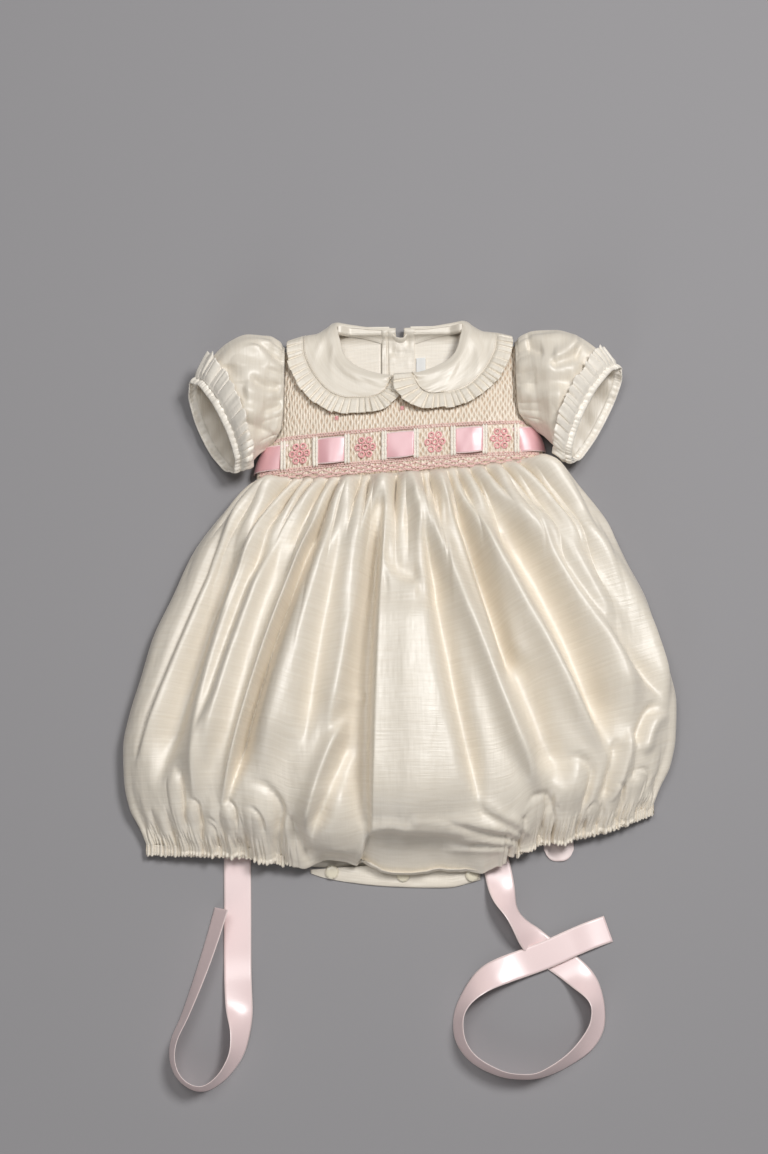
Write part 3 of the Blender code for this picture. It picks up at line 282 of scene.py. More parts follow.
# Where each ribbon end crosses or touches itself, x, y and a radius, and so lies without a wave
TAIL_CROSSING = {"left": (-126, -250, 12), "right": (112, -282, 0)}
HIDDEN = 5               # stations of each ribbon end that lie under the skirt
BIGHT = (117.0, -213.0, 22.0, 30.0)      # peeping fold of the ribbon: x, lowest y, width, length
PLATEAU = 1.4            # lift of the back where it lies over a ribbon
COLLAR_LIFT = 2.0        # lift of the back where it lies over the collar
PLACKET = (-13.5, 11.0)  # its two edges across
# Lower edge of the neck facing
FACING = table("x y", [(8, 178), (13, 179.5), (22, 182.5), (30, 184.5), (38, 185.5), (47, 185.5)])
LABEL = (12.5, 19.5, 156.0, 167.5)       # bare label: left, right, lower and upper edge
SNAPS = table("x y", [(-50.3, -217.3), (2.2, -223.4), (53, -226.8)])
REED = 2.0               # pitch of the smocked reeds
CELL = 3.6               # height of half a honeycomb cell
INSIDE = 0.65            # from the back's under face to its inside
NECK_WALL = 0.5          # cloth of the facings, the placket and the crotch flap
LABEL_WALL = 0.35

# Smocking stitches: height off the ribbon row, swing of the waves, their half length, reach to
# either side, how steep a stitch stands, droop at the points and phase
STITCH_ROWS = (
    (11.6, 0.0, 1.0, 98, 0.9, 0.0, 0.0), (13.1, 0.0, 1.0, 98, -0.8, 0.0, 0.0),
    (-10.9, 0.0, 1.0, 105, 0.9, 0.0, 0.0), (-12.4, 0.0, 1.0, 105, -0.8, 0.0, 0.0),
    (-14.6, 2.6, 5.8, 104, 0.7, 0.8, 0.0), (-16.0, 2.6, 5.8, 104, -0.7, 1.8, 1.0),
    (-17.6, 2.2, 5.8, 100, 0.8, 1.4, 0.0), (-18.6, 1.6, 5.8, 60, -0.8, 1.6, 1.0),
)
FLOWERS = (-75.2, -26.0, 26.0, 75.4)     # places of the flowers across
# Places of the rosebuds, x and y
BUDS = ((-51.8, 125.1), (-47.5, 119.0), (1.5, 123.0), (5.7, 129.6))
POINTS = (-54.0, 13.0, 54.0)             # where the lowest stitches come to a point
ROSETTE = 2.35           # radius of one rosette
BAR_ENDS = (-88.6, -86.4, 86.4, 88.6)    # bars beside the ribbon's turned ends
BAR_HALF = 10.3          # half the height of a bar
STITCH_LIFT = 1.45       # of the smocking stitches off the bodice

# Scales of the patterns, per metre of cloth along the weft and the warp, or along the ribbon. The
# yarns are 0.2 mm and too fine to show, so they are drawn coarser, as long soft streaks
SLUB_SCALE = (34, 520, 1)                # slubs 29 mm long and 1.9 mm thick
WARP_SCALE = (620, 40, 1)                # warp in streaks 1.6 mm wide and 25 mm long
RIB_SCALE = (1400, 3, 1)                 # ribs of the satin 0.7 mm wide, right across it
HANDLED_SCALE = 60                       # gloss that changes every 17 mm, from handling

# Lights: name, place in metres, size, watts and the place that each points at
LIGHTS = (
    ("key", (0.85, 0.76, 1.95), 0.62, 30.0, (0.0, -0.02, 0.0)),
    ("overhead", (-0.45, 0.75, 2.5), 1.0, 15.0, (0.0, 0.05, 0.0)),
    ("fill", (-0.6, -1.7, 0.8), 1.0, 6.0, (0.0, -0.1, 0.0)),
)
AIR_LIGHT = 0.13         # strength of the even light from all round
FLOOR_REACH = 3.0        # half the floor's width, in metres
FLOOR_GAP = 0.0004       # how far it lies under the lowest cloth, in metres
CAMERA_AIM = (-12.0, 0.0, 0.0)           # from the garment's origin
CAMERA_FAR = 2.2         # metres
CAMERA_TILT = 80.0       # degrees above the floor
CAMERA_VIEW = 22.26      # degrees over the height of the picture
FILM_HEIGHT = 24.0       # mm
SIGN = {"left": -1, "right": 1}


def linear(code):
    """sRGB hex to linear colour."""
    channels = [int(code[i:i + 2], 16) / 255 for i in (1, 3, 5)]
    return tuple(c / 12.92 if c <= 0.04045 else ((c + 0.055) / 1.055) ** 2.4 for c in channels)


def smooth(xs, ys, at):
    """Curve through the points (xs, ys), read at the values in at.

    Between two points it is a cubic. Its slope at a point is the harmonic mean of the slopes on
    either side, or 0 where they point opposite ways, so it never swings past the points.
    """
    at = np.asarray(at, float)
    step = np.diff(xs)
    rise = np.diff(ys) / step
    slope = np.empty(len(xs))
    both = rise[:-1] * rise[1:]
    total = rise[:-1] + rise[1:]
    slope[1:-1] = np.where(both > 0, 2 * both / np.where(both > 0, total, 1), 0)
    slope[0], slope[-1] = rise[0], rise[-1]
    k = np.clip(np.searchsorted(xs, at) - 1, 0, len(step) - 1)
    t = np.clip((at - xs[k]) / step[k], 0, 1)
    return (
        (2 * t**3 - 3 * t**2 + 1) * ys[k] + (t**3 - 2 * t**2 + t) * step[k] * slope[k]
        + (3 * t**2 - 2 * t**3) * ys[k + 1] + (t**3 - t**2) * step[k] * slope[k + 1]
    )


def read(rows, column, at):
    """One column of a table, read along its first column."""
    first = next(iter(rows.values()))
    return smooth(first, rows[column], at)


def ease(value, start, end):
    """0 before start, 1 after end and t^2 (3 - 2t) between them."""
    t = np.clip((value - start) / (end - start), 0, 1)
    return t * t * (3 - 2 * t)


def fall(value, start, end):
    """1 before start, 0 after end: what ease leaves of 1."""
    return 1 - ease(value, start, end)


def barrel(s):
    """Section of a puffed panel, sqrt(1 - |s|^2.4): 1 in the middle, 0 at the side seams."""
    return np.sqrt(np.clip(1 - np.abs(s) ** 2.4, 0, 1))


def rounded(share):
    """Quarter circle, 1 - sqrt(1 - share^2): 0 and level at 0, 1 and upright at 1."""
    return 1 - np.sqrt(1 - share**2)


def bell(offset, width, power=2):
    """exp(-(offset / width) ^ power): 1 at 0 and less to either side."""
    return np.exp(-(offset / width) ** power)


def spread(rows, columns):
    """The values of the rows and of the columns at every place of a grid."""
    return np.meshgrid(rows, columns, indexing="ij")


def turns(count):
    """Angles spread evenly round a full turn."""
    return np.linspace(0, 2 * math.pi, count + 1)[:-1]


def laid(points):
    """Points of the even garment, lifted along Y by the slant that it lies with."""
    out = np.array(points, float)
    out[..., 1] += smooth(SLANT["y"], SLANT["slope"], out[..., 1]) * out[..., 0]
    return out


def xyz(x, y, z):
    """Points from their coordinates."""
    return np.stack(np.broadcast_arrays(x, y, z), axis=-1)


def mirrored(points, side):
    """Points of a right-hand piece as they lie on one side."""
    return laid(points * np.array([SIGN[side], 1, 1]))


def frame_origin():
    """Where the garment's own origin lies in the solids' frame, in mm, from the middle snap."""
    low, high = (np.array(corner) * 1000 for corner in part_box("snap_2"))
    snap = laid(np.array([SNAPS["x"][1], SNAPS["y"][1], 0.0]))
    middle = (low + high) / 2
    return np.array([middle[0] - snap[0], middle[1] - snap[1], 0.0])


ORIGIN = frame_origin()


def noise(x, y, seed):
    """Value noise from -1 to 1: random heights on a grid of unit squares, eased between them."""
    heights = np.random.default_rng(seed).uniform(-1, 1, (97, 97))
    i, j = np.floor(x).astype(int), np.floor(y).astype(int)
    u, v = ease(x - i, 0, 1), ease(y - j, 0, 1)
    i, j = i % 97, j % 97
    k, m = (i + 1) % 97, (j + 1) % 97
    low = heights[i, j] * (1 - u) + heights[k, j] * u
    high = heights[i, m] * (1 - u) + heights[k, m] * u
    return low * (1 - v) + high * v


def normals(grid, closed=False):
    """Unit normals of a grid of points (rows, columns, xyz): across the columns x up the rows."""
    up = np.gradient(grid, axis=0)
    if closed:
        wide = np.concatenate([grid[:, -1:], grid, grid[:, :1]], axis=1)
        across = (wide[:, 2:] - wide[:, :-2]) / 2
    else:
        across = np.gradient(grid, axis=1)
    out = np.cross(across, up)
    return out / np.maximum(np.linalg.norm(out, axis=-1, keepdims=True), 1e-9)


def spans(grid, axis):
    """Lengths along one direction of a grid, added up from its first row or column."""
    step = np.linalg.norm(np.diff(grid, axis=axis), axis=-1)
    return np.concatenate([np.zeros_like(np.take(step, [0], axis=axis)),
                           np.cumsum(step, axis=axis)], axis=axis)


def lengths(path):
    """Length along a path of points, up to each of them."""
    return spans(path[:, None], 0)[:, 0]


def build(name, points, face_sets, finish, uv=None, gap_shade=None):
    """One object from points in mm and arrays of faces, with its cloth coordinates as a UV map.

    The last argument, from 0 to 1 at each point, is kept as an attribute: the share of painted shade that
    darkens the colour between the reeds.
    """
    points = (np.asarray(points, float) + ORIGIN) / 1000
    corners = np.concatenate([faces.ravel() for faces in face_sets])
    used, corners = np.unique(corners, return_inverse=True)
    points, corners = points[used], corners.astype(np.int32)
    uv = None if uv is None else np.asarray(uv, np.float32)[used]
    gap_shade = None if gap_shade is None else np.asarray(gap_shade, np.float32)[used]
    sizes = np.concatenate([np.full(len(faces), faces.shape[1]) for faces in face_sets])
    mesh = bpy.data.meshes.new(name)
    mesh.vertices.add(len(points))
    mesh.vertices.foreach_set("co", points.ravel())
    mesh.loops.add(len(corners))
    mesh.loops.foreach_set("vertex_index", corners)
    mesh.polygons.add(len(sizes))
    starts = np.concatenate([[0], np.cumsum(sizes)[:-1]]).astype(np.int32)
    mesh.polygons.foreach_set("loop_start", starts)
    if uv is not None:
        layer = mesh.uv_layers.new(name="cloth")
        layer.data.foreach_set("uv", uv[corners].ravel())
    if gap_shade is not None:
        mesh.attributes.new("gap_shade", "FLOAT", "POINT").data.foreach_set("value", gap_shade)
    mesh.update(calc_edges=True)
    mesh.validate()
    mesh.shade_smooth()
    mesh.materials.append(finish)
    made = bpy.data.objects.new(name, mesh)
    bpy.context.scene.collection.objects.link(made)
    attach(made, "root")
    return made


def lowest(values, reach, closed):
    """The smallest value within reach rows and columns of each place."""
    for axis in (0, 1):
        pad = [(0, 0), (0, 0)]
        pad[axis] = (reach, reach)
        wide = np.pad(values, pad, mode="wrap" if closed and axis == 1 else "edge")
        places = np.arange(values.shape[axis])
        values = np.min([np.take(wide, places + k, axis) for k in range(2 * reach + 1)], axis=0)
    return values


def cloth(name, outer, finish, thick, plain=None, step=1, closed=False, turn=1, uv=None, gap_shade=None):
    """A thin wall of cloth: a grid of outer points, and every step-th of them moved in.

    The inside lies thick below the lowest outer points about it, measured from the plain grid
    along its normals, so that it stays under every fold. Its rims are one polygon for each inner
    edge. The UV is the length across and along in metres, unless uv gives it.
    """
    base = outer if plain is None else plain
    out = turn * normals(base, closed)
    sink = -thick
    if plain is not None:
        sink = (lowest(np.sum((outer - plain) * out, axis=-1), step, closed) - thick)[..., None]
    inner = (base + out * sink)[::step, ::step]
    rows, columns = outer.shape[:2]
    inner_rows, inner_columns = inner.shape[:2]
    if uv is None:
        uv = np.stack([spans(base, 1), spans(base, 0)], axis=-1) / 1000
    points = np.concatenate([outer.reshape(-1, 3), inner.reshape(-1, 3)])
    marks = np.concatenate([uv.reshape(-1, 2), uv[::step, ::step].reshape(-1, 2)])
    if gap_shade is not None:
        gap_shade = np.concatenate([gap_shade.ravel(), gap_shade[::step, ::step].ravel()])
    index = np.arange(rows * columns).reshape(rows, columns)
    within = rows * columns + np.arange(inner_rows * inner_columns).reshape(inner_rows, -1)
    if closed:
        index = np.concatenate([index, index[:, :1]], axis=1)
        within = np.concatenate([within, within[:, :1]], axis=1)

    def quads(ids):
        """One face between each four neighbours."""
        return np.stack([ids[:-1, :-1], ids[:-1, 1:], ids[1:, 1:], ids[1:, :-1]],
                        axis=-1).reshape(-1, 4)

    def rim(outside, inside):
        """One face from each inner edge to the outer points beside it."""
        runs = [outside[k:len(outside) - step + k:step] for k in range(step)] + [outside[step::step]]
        return np.stack(runs[::-1] + [inside[:-1], inside[1:]], axis=-1)

    face_sets = [quads(index), quads(within)[:, ::-1], rim(index[0], within[0]),
                 rim(index[-1], within[-1])[:, ::-1]]
    if not closed:
        face_sets += [rim(index[:, 0], within[:, 0])[:, ::-1], rim(index[:, -1], within[:, -1])]
    if turn < 0:
        face_sets = [faces[:, ::-1] for faces in face_sets]
    return build(name, points, face_sets, finish, marks, gap_shade)


def waist_y(s):
    """Last row of smocking, which dips as a parabola in the middle of the front."""
    return WAIST - WAIST_DIP * (1 - s * s)


def top_y(s):
    """Neckline and shoulder seam over the width of the front."""
    return read(TOP, "y", np.abs(s) * SHOULDER)


def skirt_base(s, v):
    """The puffed front of the skirt without folds, at share s across and v from smocking to hem.

    x is s x the half width at v, y goes evenly from the smocking to the hem, and z rises from the
    side seam to the crest as barrel(s), less a dip between the legs.
    """
    y = waist_y(s) + v * (read(HEM, "y", s) - waist_y(s))
    side = read(SKIRT, "side", v)
    crest = read(SKIRT, "crest", v)
    z = side + (crest - side) * barrel(s)
    z = z - 5 * ease(v, 0.86, 1) * fall(np.abs(s), 0.25, 0.45)
    return xyz(read(SKIRT, "half", v) * s, y, z)


def bodice_z(x, y):
    """Height of the front of the bodice: its edge, plus the rise to its crest x barrel(x / half)."""
    s = np.clip(x / read(BODICE, "half", y), -1, 1)
    edge = read(BODICE, "edge", y)
    return edge + (read(BODICE, "crest", y) - edge) * barrel(s)


def bodice_base(s, b):
    """The front of the bodice at share s across and b from the last smocking row to its top.

    The last 10 mm to a shoulder seam fall to it in a quarter circle.
    """
    top = top_y(s)
    y = waist_y(s) + b * (top - waist_y(s))
    x = s * read(BODICE, "half", y)
    z = bodice_z(x, y)
    shoulder = ease(np.abs(s) * SHOULDER, 44.5, 47.5)
    z = z - shoulder * (z - 8.0) * rounded(np.clip((y - top + 10) / 10, 0, 1))
    return xyz(x, y, z)


def crease(plan, path, left, right, height, sharp, fade=0.22):
    """One fold over a plan: height x exp(-(distance / width) ^ sharp), faded in at both ends.

    The path is the parabola through three points, over Y where it runs along the garment and
    over X where it runs across. The distance is square to it, and the width is left or right
    (below or above, where it runs across) by the side that a point lies on.
    """
    span = np.abs(path[2] - path[0])
    run, off = (1, 0) if span[1] >= span[0] else (0, 1)
    a, b, c = path[:, run]
    p, q, r = path[:, off]
    here = np.clip(plan[..., run], min(a, c), max(a, c))
    share = p * (here - b) * (here - c) / ((a - b) * (a - c))
    share = share + q * (here - a) * (here - c) / ((b - a) * (b - c))
    share = share + r * (here - a) * (here - b) / ((c - a) * (c - b))
    slope = p * (2 * here - b - c) / ((a - b) * (a - c))
    slope = slope + q * (2 * here - a - c) / ((b - a) * (b - c))
    slope = slope + r * (2 * here - a - b) / ((c - a) * (c - b))
    across = (plan[..., off] - share) / np.sqrt(1 + slope**2)
    place = (plan[..., run] - a) / (c - a)
    shape = ease(place, 0, fade) * fall(place, 1 - fade, 1)
    width = np.maximum(np.where(across > 0, right, left) * (0.45 + 0.55 * shape), FINEST)
    return height * shape * bell(np.abs(across), width, sharp)


def creases(rows, plan, names="xy", to_plan=None):
    """Sum of a table's creases at each place of a plan, in mm.

    names are the letters of the two columns that give a path, which to_plan turns into mm.
    """
    height = np.zeros(plan.shape[:2])
    for values in zip(*rows.values()):
        row = dict(zip(rows, values))
        path = np.array([[row[name + n] for name in names] for n in "123"])
        if to_plan:
            path = to_plan(path[:, 0], path[:, 1])
        height += crease(plan[..., :2], path[:, :2], row["left"], row["right"], row["height"], row["sharp"])
    return height


def uneven(count, low, high, spread, seed):
    """Valley places from low to high: equal steps x (1 + spread x a random -1 to 1), added up."""
    steps = 1 + spread * np.random.default_rng(seed).uniform(-1, 1, count)
    places = np.concatenate([[0], np.cumsum(steps)])
    return low + (high - low) * places / places[-1]


def gather_at(valleys, at):
    """Which gather each place lies in, and how far along it from 0 to 1."""
    k = np.clip(np.searchsorted(valleys, at) - 1, 0, len(valleys) - 2)
    return k, (at - valleys[k]) / (valleys[k + 1] - valleys[k])


def pipes(s, valleys, power=0.62):
    """Rounded gathers between sharp valleys: sin(pi x place in the gather) ^ power, by its width."""
    k, t = gather_at(valleys, s)
    mean = (valleys[-1] - valleys[0]) / (len(valleys) - 1)
    return np.sin(math.pi * np.clip(t, 0, 1)) ** power * np.diff(valleys)[k] / mean


def crotch_folds(base):
    """The dip between the legs, its raised crest and the creases about it, in mm.

    Below the crest's line the cloth falls 7 mm within 7.5 mm, and the crest is a bell 3 mm above it.
    """
    x, y = base[..., 0], base[..., 1]
    height = CROTCH_DEPTH * creases(CROTCH_CREASES, base)
    below = read(CREST, "y", np.clip(x, CREST["x"][0], CREST["x"][-1])) - y
    wall = -25.5 - 0.35 * np.clip(-198 - y, 0, 30)
    beside = ease(x - wall, -3.5, 4.5) * fall(x, 20, 84)
    height -= 7.0 * beside * ease(below, -0.5, 7) * (1 - 0.2 * ease(below, 9, 24))
    return height + 2.6 * beside * bell(below + 3.0, 4.0)


def gathers_below_smocking(s, v):
    """Organ pipes that start at the last smocked row, join in pairs and run out below it.

    Narrow pipes give way to broad ones, and each run has its own reach, which is noise over s.
    """
    drift = s + 0.010 * noise(s * 9, v * 14, 5) * ease(v, 0, 0.1)
    narrow = pipes(drift + 0.01, uneven(18, -1, 1, 0.6, 12), 0.55)
    broad = pipes(drift, uneven(15, -1, 1, 0.5, 13), 0.8)
    reach = (0.75 + 0.45 * noise(s * 16, 0 * v, 14)) * (0.5 + 0.5 * ease(np.abs(s), 0.06, 0.2))
    start = 0.35 + 0.65 * ease(v, 0, 0.02) + 0.6 * bell(v - 0.04, 0.028)
    return start * (
        8.0 * (narrow - 0.5) * ease(v, -0.01, 0.02) * fall(v, 0.07, 0.30 * reach)
        + 6.0 * (broad - 0.5) * ease(v, 0.02, 0.10) * fall(v, 0.14, 0.60 * reach)
    )


def leg_gathers(s):
    """Fine gathers of the leg elastic at share s: 0 in the valleys, about 1 on top."""
    drift = s + 0.0016 * noise(s * 90, 0 * s, 25)
    return pipes(drift, uneven(LEG_WAVES, -1, 1, 0.5, 23), 0.75)


def gathers_above_elastic(s, v, half):
    """Puffs and gathers that the leg elastic draws up: arches with a groove round their tops.

    A puff's section is a half ellipse, and its arch is a parabola about its own middle line.
    """
    legs = ease(np.abs(s), 0.37, 0.43)
    height = np.zeros(s.shape)
    groove = np.zeros(s.shape)
    smooth_part = np.zeros(s.shape)
    for place, top, width, tall in zip(*PUFFS.values()):
        lean = place * (1 - 0.5 * (half / SKIRT["half"][-1] - 1))
        across = (s - lean) * half / (width * (1 - 0.4 * ease(v, top + 0.03, 1)))
        rise = width / 290
        below = (v - top) / rise - across**2
        body = np.sqrt(np.clip(1 - across**2, 0, 1))
        height = np.maximum(height, tall * body * ease(below, -0.25, 1.5))
        smooth_part = np.maximum(smooth_part, ease(body, 0.2, 0.7) * ease(below, 0, 0.5))
        ring = np.hypot(across, np.minimum((v - top) / rise - 1, 0)) - 1
        edge = bell(ring - 0.12, 0.20) * ease(0.95 - v, 0, 0.03)
        side = 0.45 + 0.55 * np.tanh(across * 2.0)
        groove = np.maximum(groove, 0.75 * tall * edge * side)
    plumb = s * (1 + 0.6 * (half / SKIRT["half"][-1] - 1))
    drift = plumb + 0.006 * noise(s * 30, v * 12, 21)
    middle = pipes(drift, uneven(50, -1, 1, 0.7, 22))
    reach = 0.035 * noise(s * 22, 0 * v, 24)
    height = 1.25 * height - groove
    bulk = pipes(plumb + 0.008 * noise(s * 16, v * 9, 29), uneven(27, -1, 1, 0.65, 30), 0.75)
    start = 0.87 + reach - 0.08 * ease(s, 0.66, 0.76)
    height += (3.6 * (bulk - 0.62) * legs * ease(v, start, 0.95) * fall(v, 0.965, 0.995)
               * (1 - 0.7 * smooth_part))
    uneven_pull = 0.62 + 0.5 * noise(s * 34, 0 * v, 26)
    height -= 2.4 * ease(v, 0.942 + 0.6 * reach, 0.982) * legs * (1 - middle) * (1 - 0.8 * smooth_part)
    height += 2.7 * uneven_pull * legs * (leg_gathers(s) - 0.5) * ease(v, 0.952 + 0.5 * reach, 0.990)
    return height


def crotch_edge(x):
    """How far the front's lower edge droops between the legs: two bells and noise over x."""
    over_snap = 4.0 * bell(x - 3, 20) - 8.0 * bell(x + 47, 19, 4)
    return 1.7 * noise(x / 12, 0 * x, 27) + 0.9 * noise(x / 5, 0 * x, 28) + over_snap


def skirt_front(silk, thick):
    """The front of the skirt: puffed base plus creases, gathers, puffs and small wrinkles.

    All of them are heights in mm along the base's normals. Below the hem it runs on over the leg
    elastic, and between the legs it turns under: e goes from 0 at the hem to 1 at the end of that.
    """
    t = np.linspace(-1, 1, 721)
    across = 0.7 * t + 0.3 * np.sin(t * math.pi / 2)
    below = np.linspace(1, 0, 9)[:-1]
    down = np.concatenate([np.ones(8), np.linspace(1, 0.87, 27), np.linspace(0.87, 0, 87)[1:]])
    extra = np.concatenate([below, np.zeros(len(down) - 8)])
    v, s = spread(down, across)
    e = np.repeat(extra[:, None], len(across), axis=1)
    base = skirt_base(s, v)
    out = normals(skirt_base(s[8:], v[8:]))
    out = np.concatenate([np.repeat(out[:1], 8, axis=0), out])
    out[:, 0], out[:, -1] = (-1, 0, 0), (1, 0, 0)
    half = read(SKIRT, "half", v)
    x = base[..., 0]
    wrinkle = (
        1.8 * noise(s * 5 + 3, v * 4, 31) + 1.1 * noise(s * 15, v * 5 + s * 2, 32)
        + 0.45 * noise(s * 26 + v * 3, v * 6, 33) + 0.12 * noise(s * 90, v * 60, 34)
    )
    height = FOLD_DEPTH * creases(CREASES, base, "sv", skirt_base)
    height *= 1 - ease(v, 0.93, 1.0) * ease(np.abs(s), 0.40, 0.46)
    height += gathers_below_smocking(s, v) + gathers_above_elastic(s, v, half)
    height += crotch_folds(base)
    height += ease(v, 0.02, 0.12) * fall(v, 0.93, 0.99) * wrinkle
    inside = fall(np.abs(s), 0.97, 1.0)
    points = base + out * (height * inside)[..., None]
    legs = ease(np.abs(s) + 0.03 * (s < 0), LEG_START - 0.045, LEG_START + 0.05)
    gather = leg_gathers(s)
    drop = e * (CASING_WIDTH - 0.8 + 0.9 * (gather - 0.5) * ease(e, 0.5, 1))
    pinch = bell(e - 0.45, 0.25)
    droop = crotch_edge(x) * ease(v, 0.95, 1) + 1.2 * np.sin(math.pi * e)
    sink = legs * (2.6 * e + 0.9 * pinch) + (1 - legs) * 3.2 * e - 0.5 * legs * (gather - 0.5) * e
    turned = xyz(0 * x, -legs * drop - (1 - legs) * droop, -sink)
    points = laid(points + turned)
    uv = np.stack([s * 0.2, (1 - v) * 0.29 - 0.007 * e], axis=-1)
    return cloth("skirt_front_silk", points, silk, thick, plain=laid(base + turned), step=8, uv=uv)


def reeds(x, y):
    """Honeycomb smocking from 0 to 1: upright reeds that lean together in turns.

    Reed k stands at k + 0.14 (-1)^k cos(pi y / cell), and its section is a half ellipse.
    """
    u = x / REED + 0.30 * noise(x / 9, y / 7, 41) + 0.20 * noise(x / 2, y / 3, 42)
    w = y / CELL + 0.4 * noise(x / 7 + 5, y / 6, 43)
    height = np.zeros(np.shape(u))
    near = np.round(u)
    for k in (near - 1, near, near + 1):
        place = k + 0.14 * np.where(k % 2 == 0, 1, -1) * np.cos(math.pi * w)
        height = np.maximum(height, np.sqrt(np.clip(1 - ((u - place) / 0.52) ** 2, 0, 1)))
    return height


def ribbon_cover(x, y):
    """1 where a stretch of ribbon or its bars lie on the bodice, 0 elsewhere."""
    row = ease(-np.abs(y - RIBBON_ROW), -12.5, -10.5)
    return row * sum(ease(-np.abs(x - place), -14.5, -13.0) for place in WINDOW_PLACES)


def bodice_front(silk, thick):
    """The smocked bodice: its base plus 1.15 mm x reeds along its normals, less under the ribbon."""
    b, s = spread(np.linspace(-0.02, 1, 165), np.linspace(-1, 1, 521))
    base = bodice_base(s, b)
    out = normals(base)
    x, y = base[..., 0], base[..., 1]
    edge = fall(np.abs(s), 0.985, 1.0) * fall(b, 0.97, 1.0)
    reed = reeds(x, y)
    relief = 1.15 * reed * (1 - 0.75 * ribbon_cover(x, y)) * edge
    relief += 0.5 * noise(x / 22, y / 18, 44) * edge
    base = base - xyz(0 * b, 0 * b, 2.2 * fall(b, -0.02, 0.02))
    points = laid(base + out * relief[..., None])
    uv = np.stack([x, y], axis=-1) / 1000
    # Painted shade: the lower a place lies between the reeds, the more of the darker colour it gets.
    return cloth("smocked_bodice", points, silk, thick, plain=laid(base - 0.15 * out), step=4, uv=uv,
                 gap_shade=1 - reed)


def hidden_ribbon(v):
    """Middle of each ribbon end under the back of the skirt, at share v from bodice to hem."""
    out = []
    for tail_rows, hem, climb in ((TAIL_LEFT, -201.0, -9.0), (TAIL_RIGHT, FLAP_TOP, 5.0)):
        y = BACK_TOP + v * (hem - BACK_TOP) + climb
        order = np.argsort(tail_rows["y"][:HIDDEN + 1])
        out.append(smooth(tail_rows["y"][order], tail_rows["x"][order], y))
    return out


def back_hem_y(s):
    """Lower edge of the back, just inside the front's at the legs and short at the crotch."""
    return np.maximum(read(HEM, "y", s) + 2.0, FLAP_TOP)


def over_ribbon(x, middle):
    """1 where the back lies over a ribbon end whose middle is given, 0 beside it."""
    return fall(np.abs(x - middle), 11.6, 16)


def over_fold(x):
    """1 where the back lies over the peeping fold of the ribbon, 0 beside it."""
    return fall(np.abs(x - BIGHT[0]), BIGHT[2] / 2 + 1.3, BIGHT[2] / 2 + 5)


def skirt_back(silk, thick):
    """The back of the skirt: level underneath, lifted over the ribbon and up at its side seams.

    At the seams it turns up through a quarter ellipse, SIDE_TURN wide and as high as the side seam.
    """
    v = np.linspace(1, 0, 61)[:, None]
    turn = np.linspace(0, math.pi / 2, 9)
    half = read(SKIRT, "half", v)
    side = read(SKIRT, "side", v) - SEAM
    turn_in, lift = SIDE_TURN * np.sin(turn) - SIDE_TURN, side * (1 - np.cos(turn))
    middle = (half - SIDE_TURN) * np.linspace(-1, 1, 121)
    x = np.concatenate([-(half + turn_in)[:, ::-1][:, :-1], middle, (half + turn_in)[:, 1:]], axis=1)
    up = np.concatenate([lift[:, ::-1][:, :-1], 0 * middle, lift[:, 1:]], axis=1)
    y = BACK_TOP + v * (back_hem_y(x / half) - BACK_TOP)
    over = sum(over_ribbon(x, middle) for middle in hidden_ribbon(v)) * fall(y, 71, 80)
    fold_end = BIGHT[1] + BIGHT[3]
    over = np.maximum(over, over_fold(x) * fall(y, fold_end + 2, fold_end + 9))
    grid = xyz(x, y, over * PLATEAU + up)
    return cloth("skirt_back_silk", laid(grid), silk, thick, turn=-1)


def notch(x):
    """1 in the narrow notch in the middle of the back's neck, 0 beside it."""
    return fall(np.abs(x), 2.6, NOTCH_HALF)


def top_back(x):
    """Upper edge of the back: the shoulder seam, and a nearly straight neck between the two."""
    return np.where(np.abs(x) > NECK_HALF, read(TOP, "y", np.abs(x)), NECK_BACK - 3.5 * notch(x))


def back_z(x, y, half, top):
    """Height of the back's under face: level, lifted over the collar, up at shoulder and side."""
    lift = COLLAR_LIFT * ease(y, 136, 147)
    z = lift + (7.7 - lift) * rounded(np.clip((y - top + 9) / 9, 0, 1))
    side = (read(BODICE, "edge", y) - SEAM) * fall(y, 98, 110)
    return z + side * rounded(np.clip((np.abs(x) - half + SIDE_TURN) / SIDE_TURN, 0, 1))


def bodice_backs(silk, thick):
    """The two halves of the back of the bodice, which meet under the placket.

    x goes evenly from the side seam to the meeting and y from the waist to the back's upper edge.
    As each depends on the other, they are worked out three times over.
    """
    seam = PLACKET[0] - 0.5
    made = []
    shares = np.concatenate([np.linspace(0, 0.12, 9)[:-1], np.linspace(0.12, 1, 34)])
    b, share = spread(np.linspace(0, 1, 53), shares)
    for side, inner in (("left", seam), ("right", seam + SEAM)):
        edge = SIGN[side] * SHOULDER
        x = edge + share * (inner - edge)
        for _ in range(3):
            y = BACK_TOP + SEAM + b * (top_back(x) - BACK_TOP - SEAM)
            edge = SIGN[side] * read(BODICE, "half", y)
            x = edge + share * (inner - edge)
        z = back_z(x, y, read(BODICE, "half", y), top_back(x))
        grid = laid(xyz(x, y, z))
        made.append(cloth("back_silk_" + side, grid, silk, thick, turn=SIGN[side]))
    return made


def inside_point(x, y, lift):
    """A point on the inside of the back: the back's height, its cloth and a lift square to it."""
    step = 1e-3
    z = back_z(x, y, SHOULDER, NECK_BACK)
    rise = (back_z(x, y + step, SHOULDER, NECK_BACK) - z) / step
    up = xyz(0 * x, -rise, np.ones_like(x)) / np.sqrt(1 + rise**2)[..., None]
    return xyz(x, y, z) + up * (INSIDE + lift)[..., None]


